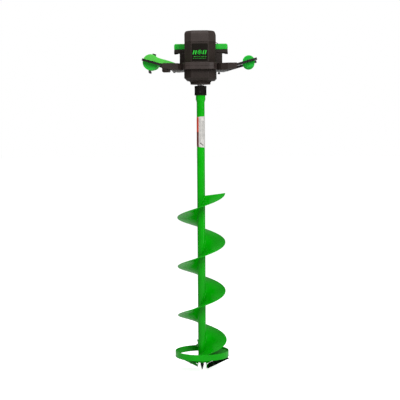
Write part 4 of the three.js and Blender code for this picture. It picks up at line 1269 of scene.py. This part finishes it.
# %% Throttle
softened("throttle_top", "throttle_cover", 0.8, "powerhead", "green_plastic", finish=duct_plastic)
softened("throttle_bottom", "throttle_base", 0.6, "powerhead", "green_plastic")
softened("trigger", "throttle_trigger", 0.9, "trigger", "black_plastic")
softened("trigger_axle", "trigger_pin", 0.3, "powerhead", "steel", segments=2)
softened("lock_button", "safety_button", 1.0, "button", "rubber")
softened("switch_case", "switch_box", 0.3, "powerhead", "black_plastic")
softened("switch_rocker", "direction_rocker", 0.5, "rocker", "black_plastic")

# %% [markdown]
# ### Screws of the casings
#
# Casings are held by small cross-headed screws. One screw is made, and the places tree copies it to
# every boss and turns it to look out of the wall that it sits in.

# %% Casing screws
def cross_screw():
    """A pan head with a crossed recess, about Z, its underside at height 0."""
    head = turned([(0, -1.0), (2.7, -1.0), (2.7, 0.25), (2.1, 0.7), (0, 0.75)], 14)
    return cut(head, bar(-1.7, 1.7, -0.35, 0.35, 0.3, 2, 0.05), bar(-0.35, 0.35, -1.7, 1.7, 0.3, 2, 0.05))


screw_places = []
for side in (-1, 1):
    for x, z in ((57, 1116), (57, 1144.5)):
        screw_places.append(((side * x, 95.2, z), (0, 1, 0)))
    for y in (-30, 20):
        screw_places.append(((side * 55.7, y, 1077), (side, 0, 0)))
screws = copies_at(cross_screw(), screw_places, finishes["black_steel"])
piece("casing_screws", screws, "powerhead", "black_steel")

# %% [markdown]
# ## The works inside
#
# The gears, shafts, bearing and motor already have every tooth and step that they need, so the
# engineering solids stay and only take the finish that the record gives them. The rest of the
# solids are hidden by the pieces that replace them.

# %% Finishing the solids that stay
slot_of = {part["node"]: part["material_slot"] for part in frame["record"]["subparts"]}
for name, solid in frame["nodes"].items():
    solid.data.materials.clear()
    solid.data.materials.append(finishes[slot_of[name]])
print(len(slot_of), "solids have a finish")

# %% [markdown]
# ## Floor, light and camera
#
# A product picture wants an even white ground and soft light. The floor and the sky are both white.
# The sky lights the auger less brightly than it looks: a Light Path node tells the camera's own view
# from the light that falls on the pieces, so that greens stay deep on a bright ground.

# %% Studio
def pale_floor():
    made, tree, shader, place = surface("pale floor", Roughness=0.9, Specular_IOR_Level=0.1)
    tone = ramp(tree, grain(tree, place, 900, 2), 0.3, 0.7)
    tree.links.new(blend(tree, tone, (0.93, 0.93, 0.93), (0.9, 0.9, 0.9)), shader.inputs["Base Color"])
    shader.inputs["Emission Color"].default_value = (1, 1, 1, 1)
    seen = node(tree, "ShaderNodeLightPath").outputs["Is Camera Ray"]
    tree.links.new(math_node(tree, "MULTIPLY", seen, 0.85), shader.inputs["Emission Strength"])
    return made


floor_mesh = bpy.data.meshes.new("floor")
floor_mesh.from_pydata([(-30, -30, 0), (30, -30, 0), (30, 30, 0), (-30, 30, 0)], [], [(0, 1, 2, 3)])
floor = bpy.data.objects.new("floor", floor_mesh)
bpy.context.scene.collection.objects.link(floor)
floor_mesh.materials.append(pale_floor())

SKY_LIGHT = 0.22
world = bpy.data.worlds.new("studio")
bpy.context.scene.world = world
world.use_nodes = True
sky = world.node_tree
sky.nodes.clear()
seen = node(sky, "ShaderNodeLightPath").outputs["Is Camera Ray"]
strength = math_node(sky, "MULTIPLY_ADD", seen, 1.0 - SKY_LIGHT, SKY_LIGHT)
background = node(sky, "ShaderNodeBackground", {"Color": (1, 1, 1, 1), "Strength": strength})
node(sky, "ShaderNodeOutputWorld", {"Surface": background.outputs[0]})


def softbox(name, place, aim, size, power):
    lamp = bpy.data.lights.new(name, "AREA")
    lamp.shape = "RECTANGLE"
    lamp.size, lamp.size_y = size
    lamp.energy = power
    holder = bpy.data.objects.new(name, lamp)
    holder.location = place
    holder.rotation_euler = (Vector(aim) - Vector(place)).to_track_quat("-Z", "Y").to_euler()
    bpy.context.scene.collection.objects.link(holder)


softbox("key", (1.3, -2.8, 2.4), (0, 0, 0.7), (1.4, 1.4), 84)
softbox("top", (-0.7, -0.9, 3.2), (0, 0, 1.0), (1.4, 1.4), 36)
softbox("fill", (-2.6, -2.2, 0.9), (0, 0, 0.4), (1.2, 1.6), 2.5)
softbox("rim", (2.8, -0.9, 0.5), (0, 0, 0.4), (0.8, 1.4), 9)
bpy.context.scene.view_settings.view_transform = "Standard"

# %% [markdown]
# The camera stands four metres off at the height of a seated eye, a little to the right, and looks
# slightly down. A long lens keeps the upright drill upright.

# %% Camera
camera = bpy.data.objects.new("camera", bpy.data.cameras.new("camera"))
bpy.context.scene.collection.objects.link(camera)
bpy.context.scene.camera = camera
camera.data.lens = 99.8
camera.data.clip_end = 200
distance, azimuth, roll = 4.0, math.radians(2.2), math.radians(-0.35)
eye = Vector((distance * math.sin(azimuth), -distance * math.cos(azimuth), 0.875))
aim = Vector((-0.0043, 0.0, 0.6195))
camera.location = eye
level = (aim - eye).to_track_quat("-Z", "Y")
camera.rotation_euler = (level @ Matrix.Rotation(roll, 3, "Z").to_quaternion()).to_euler()
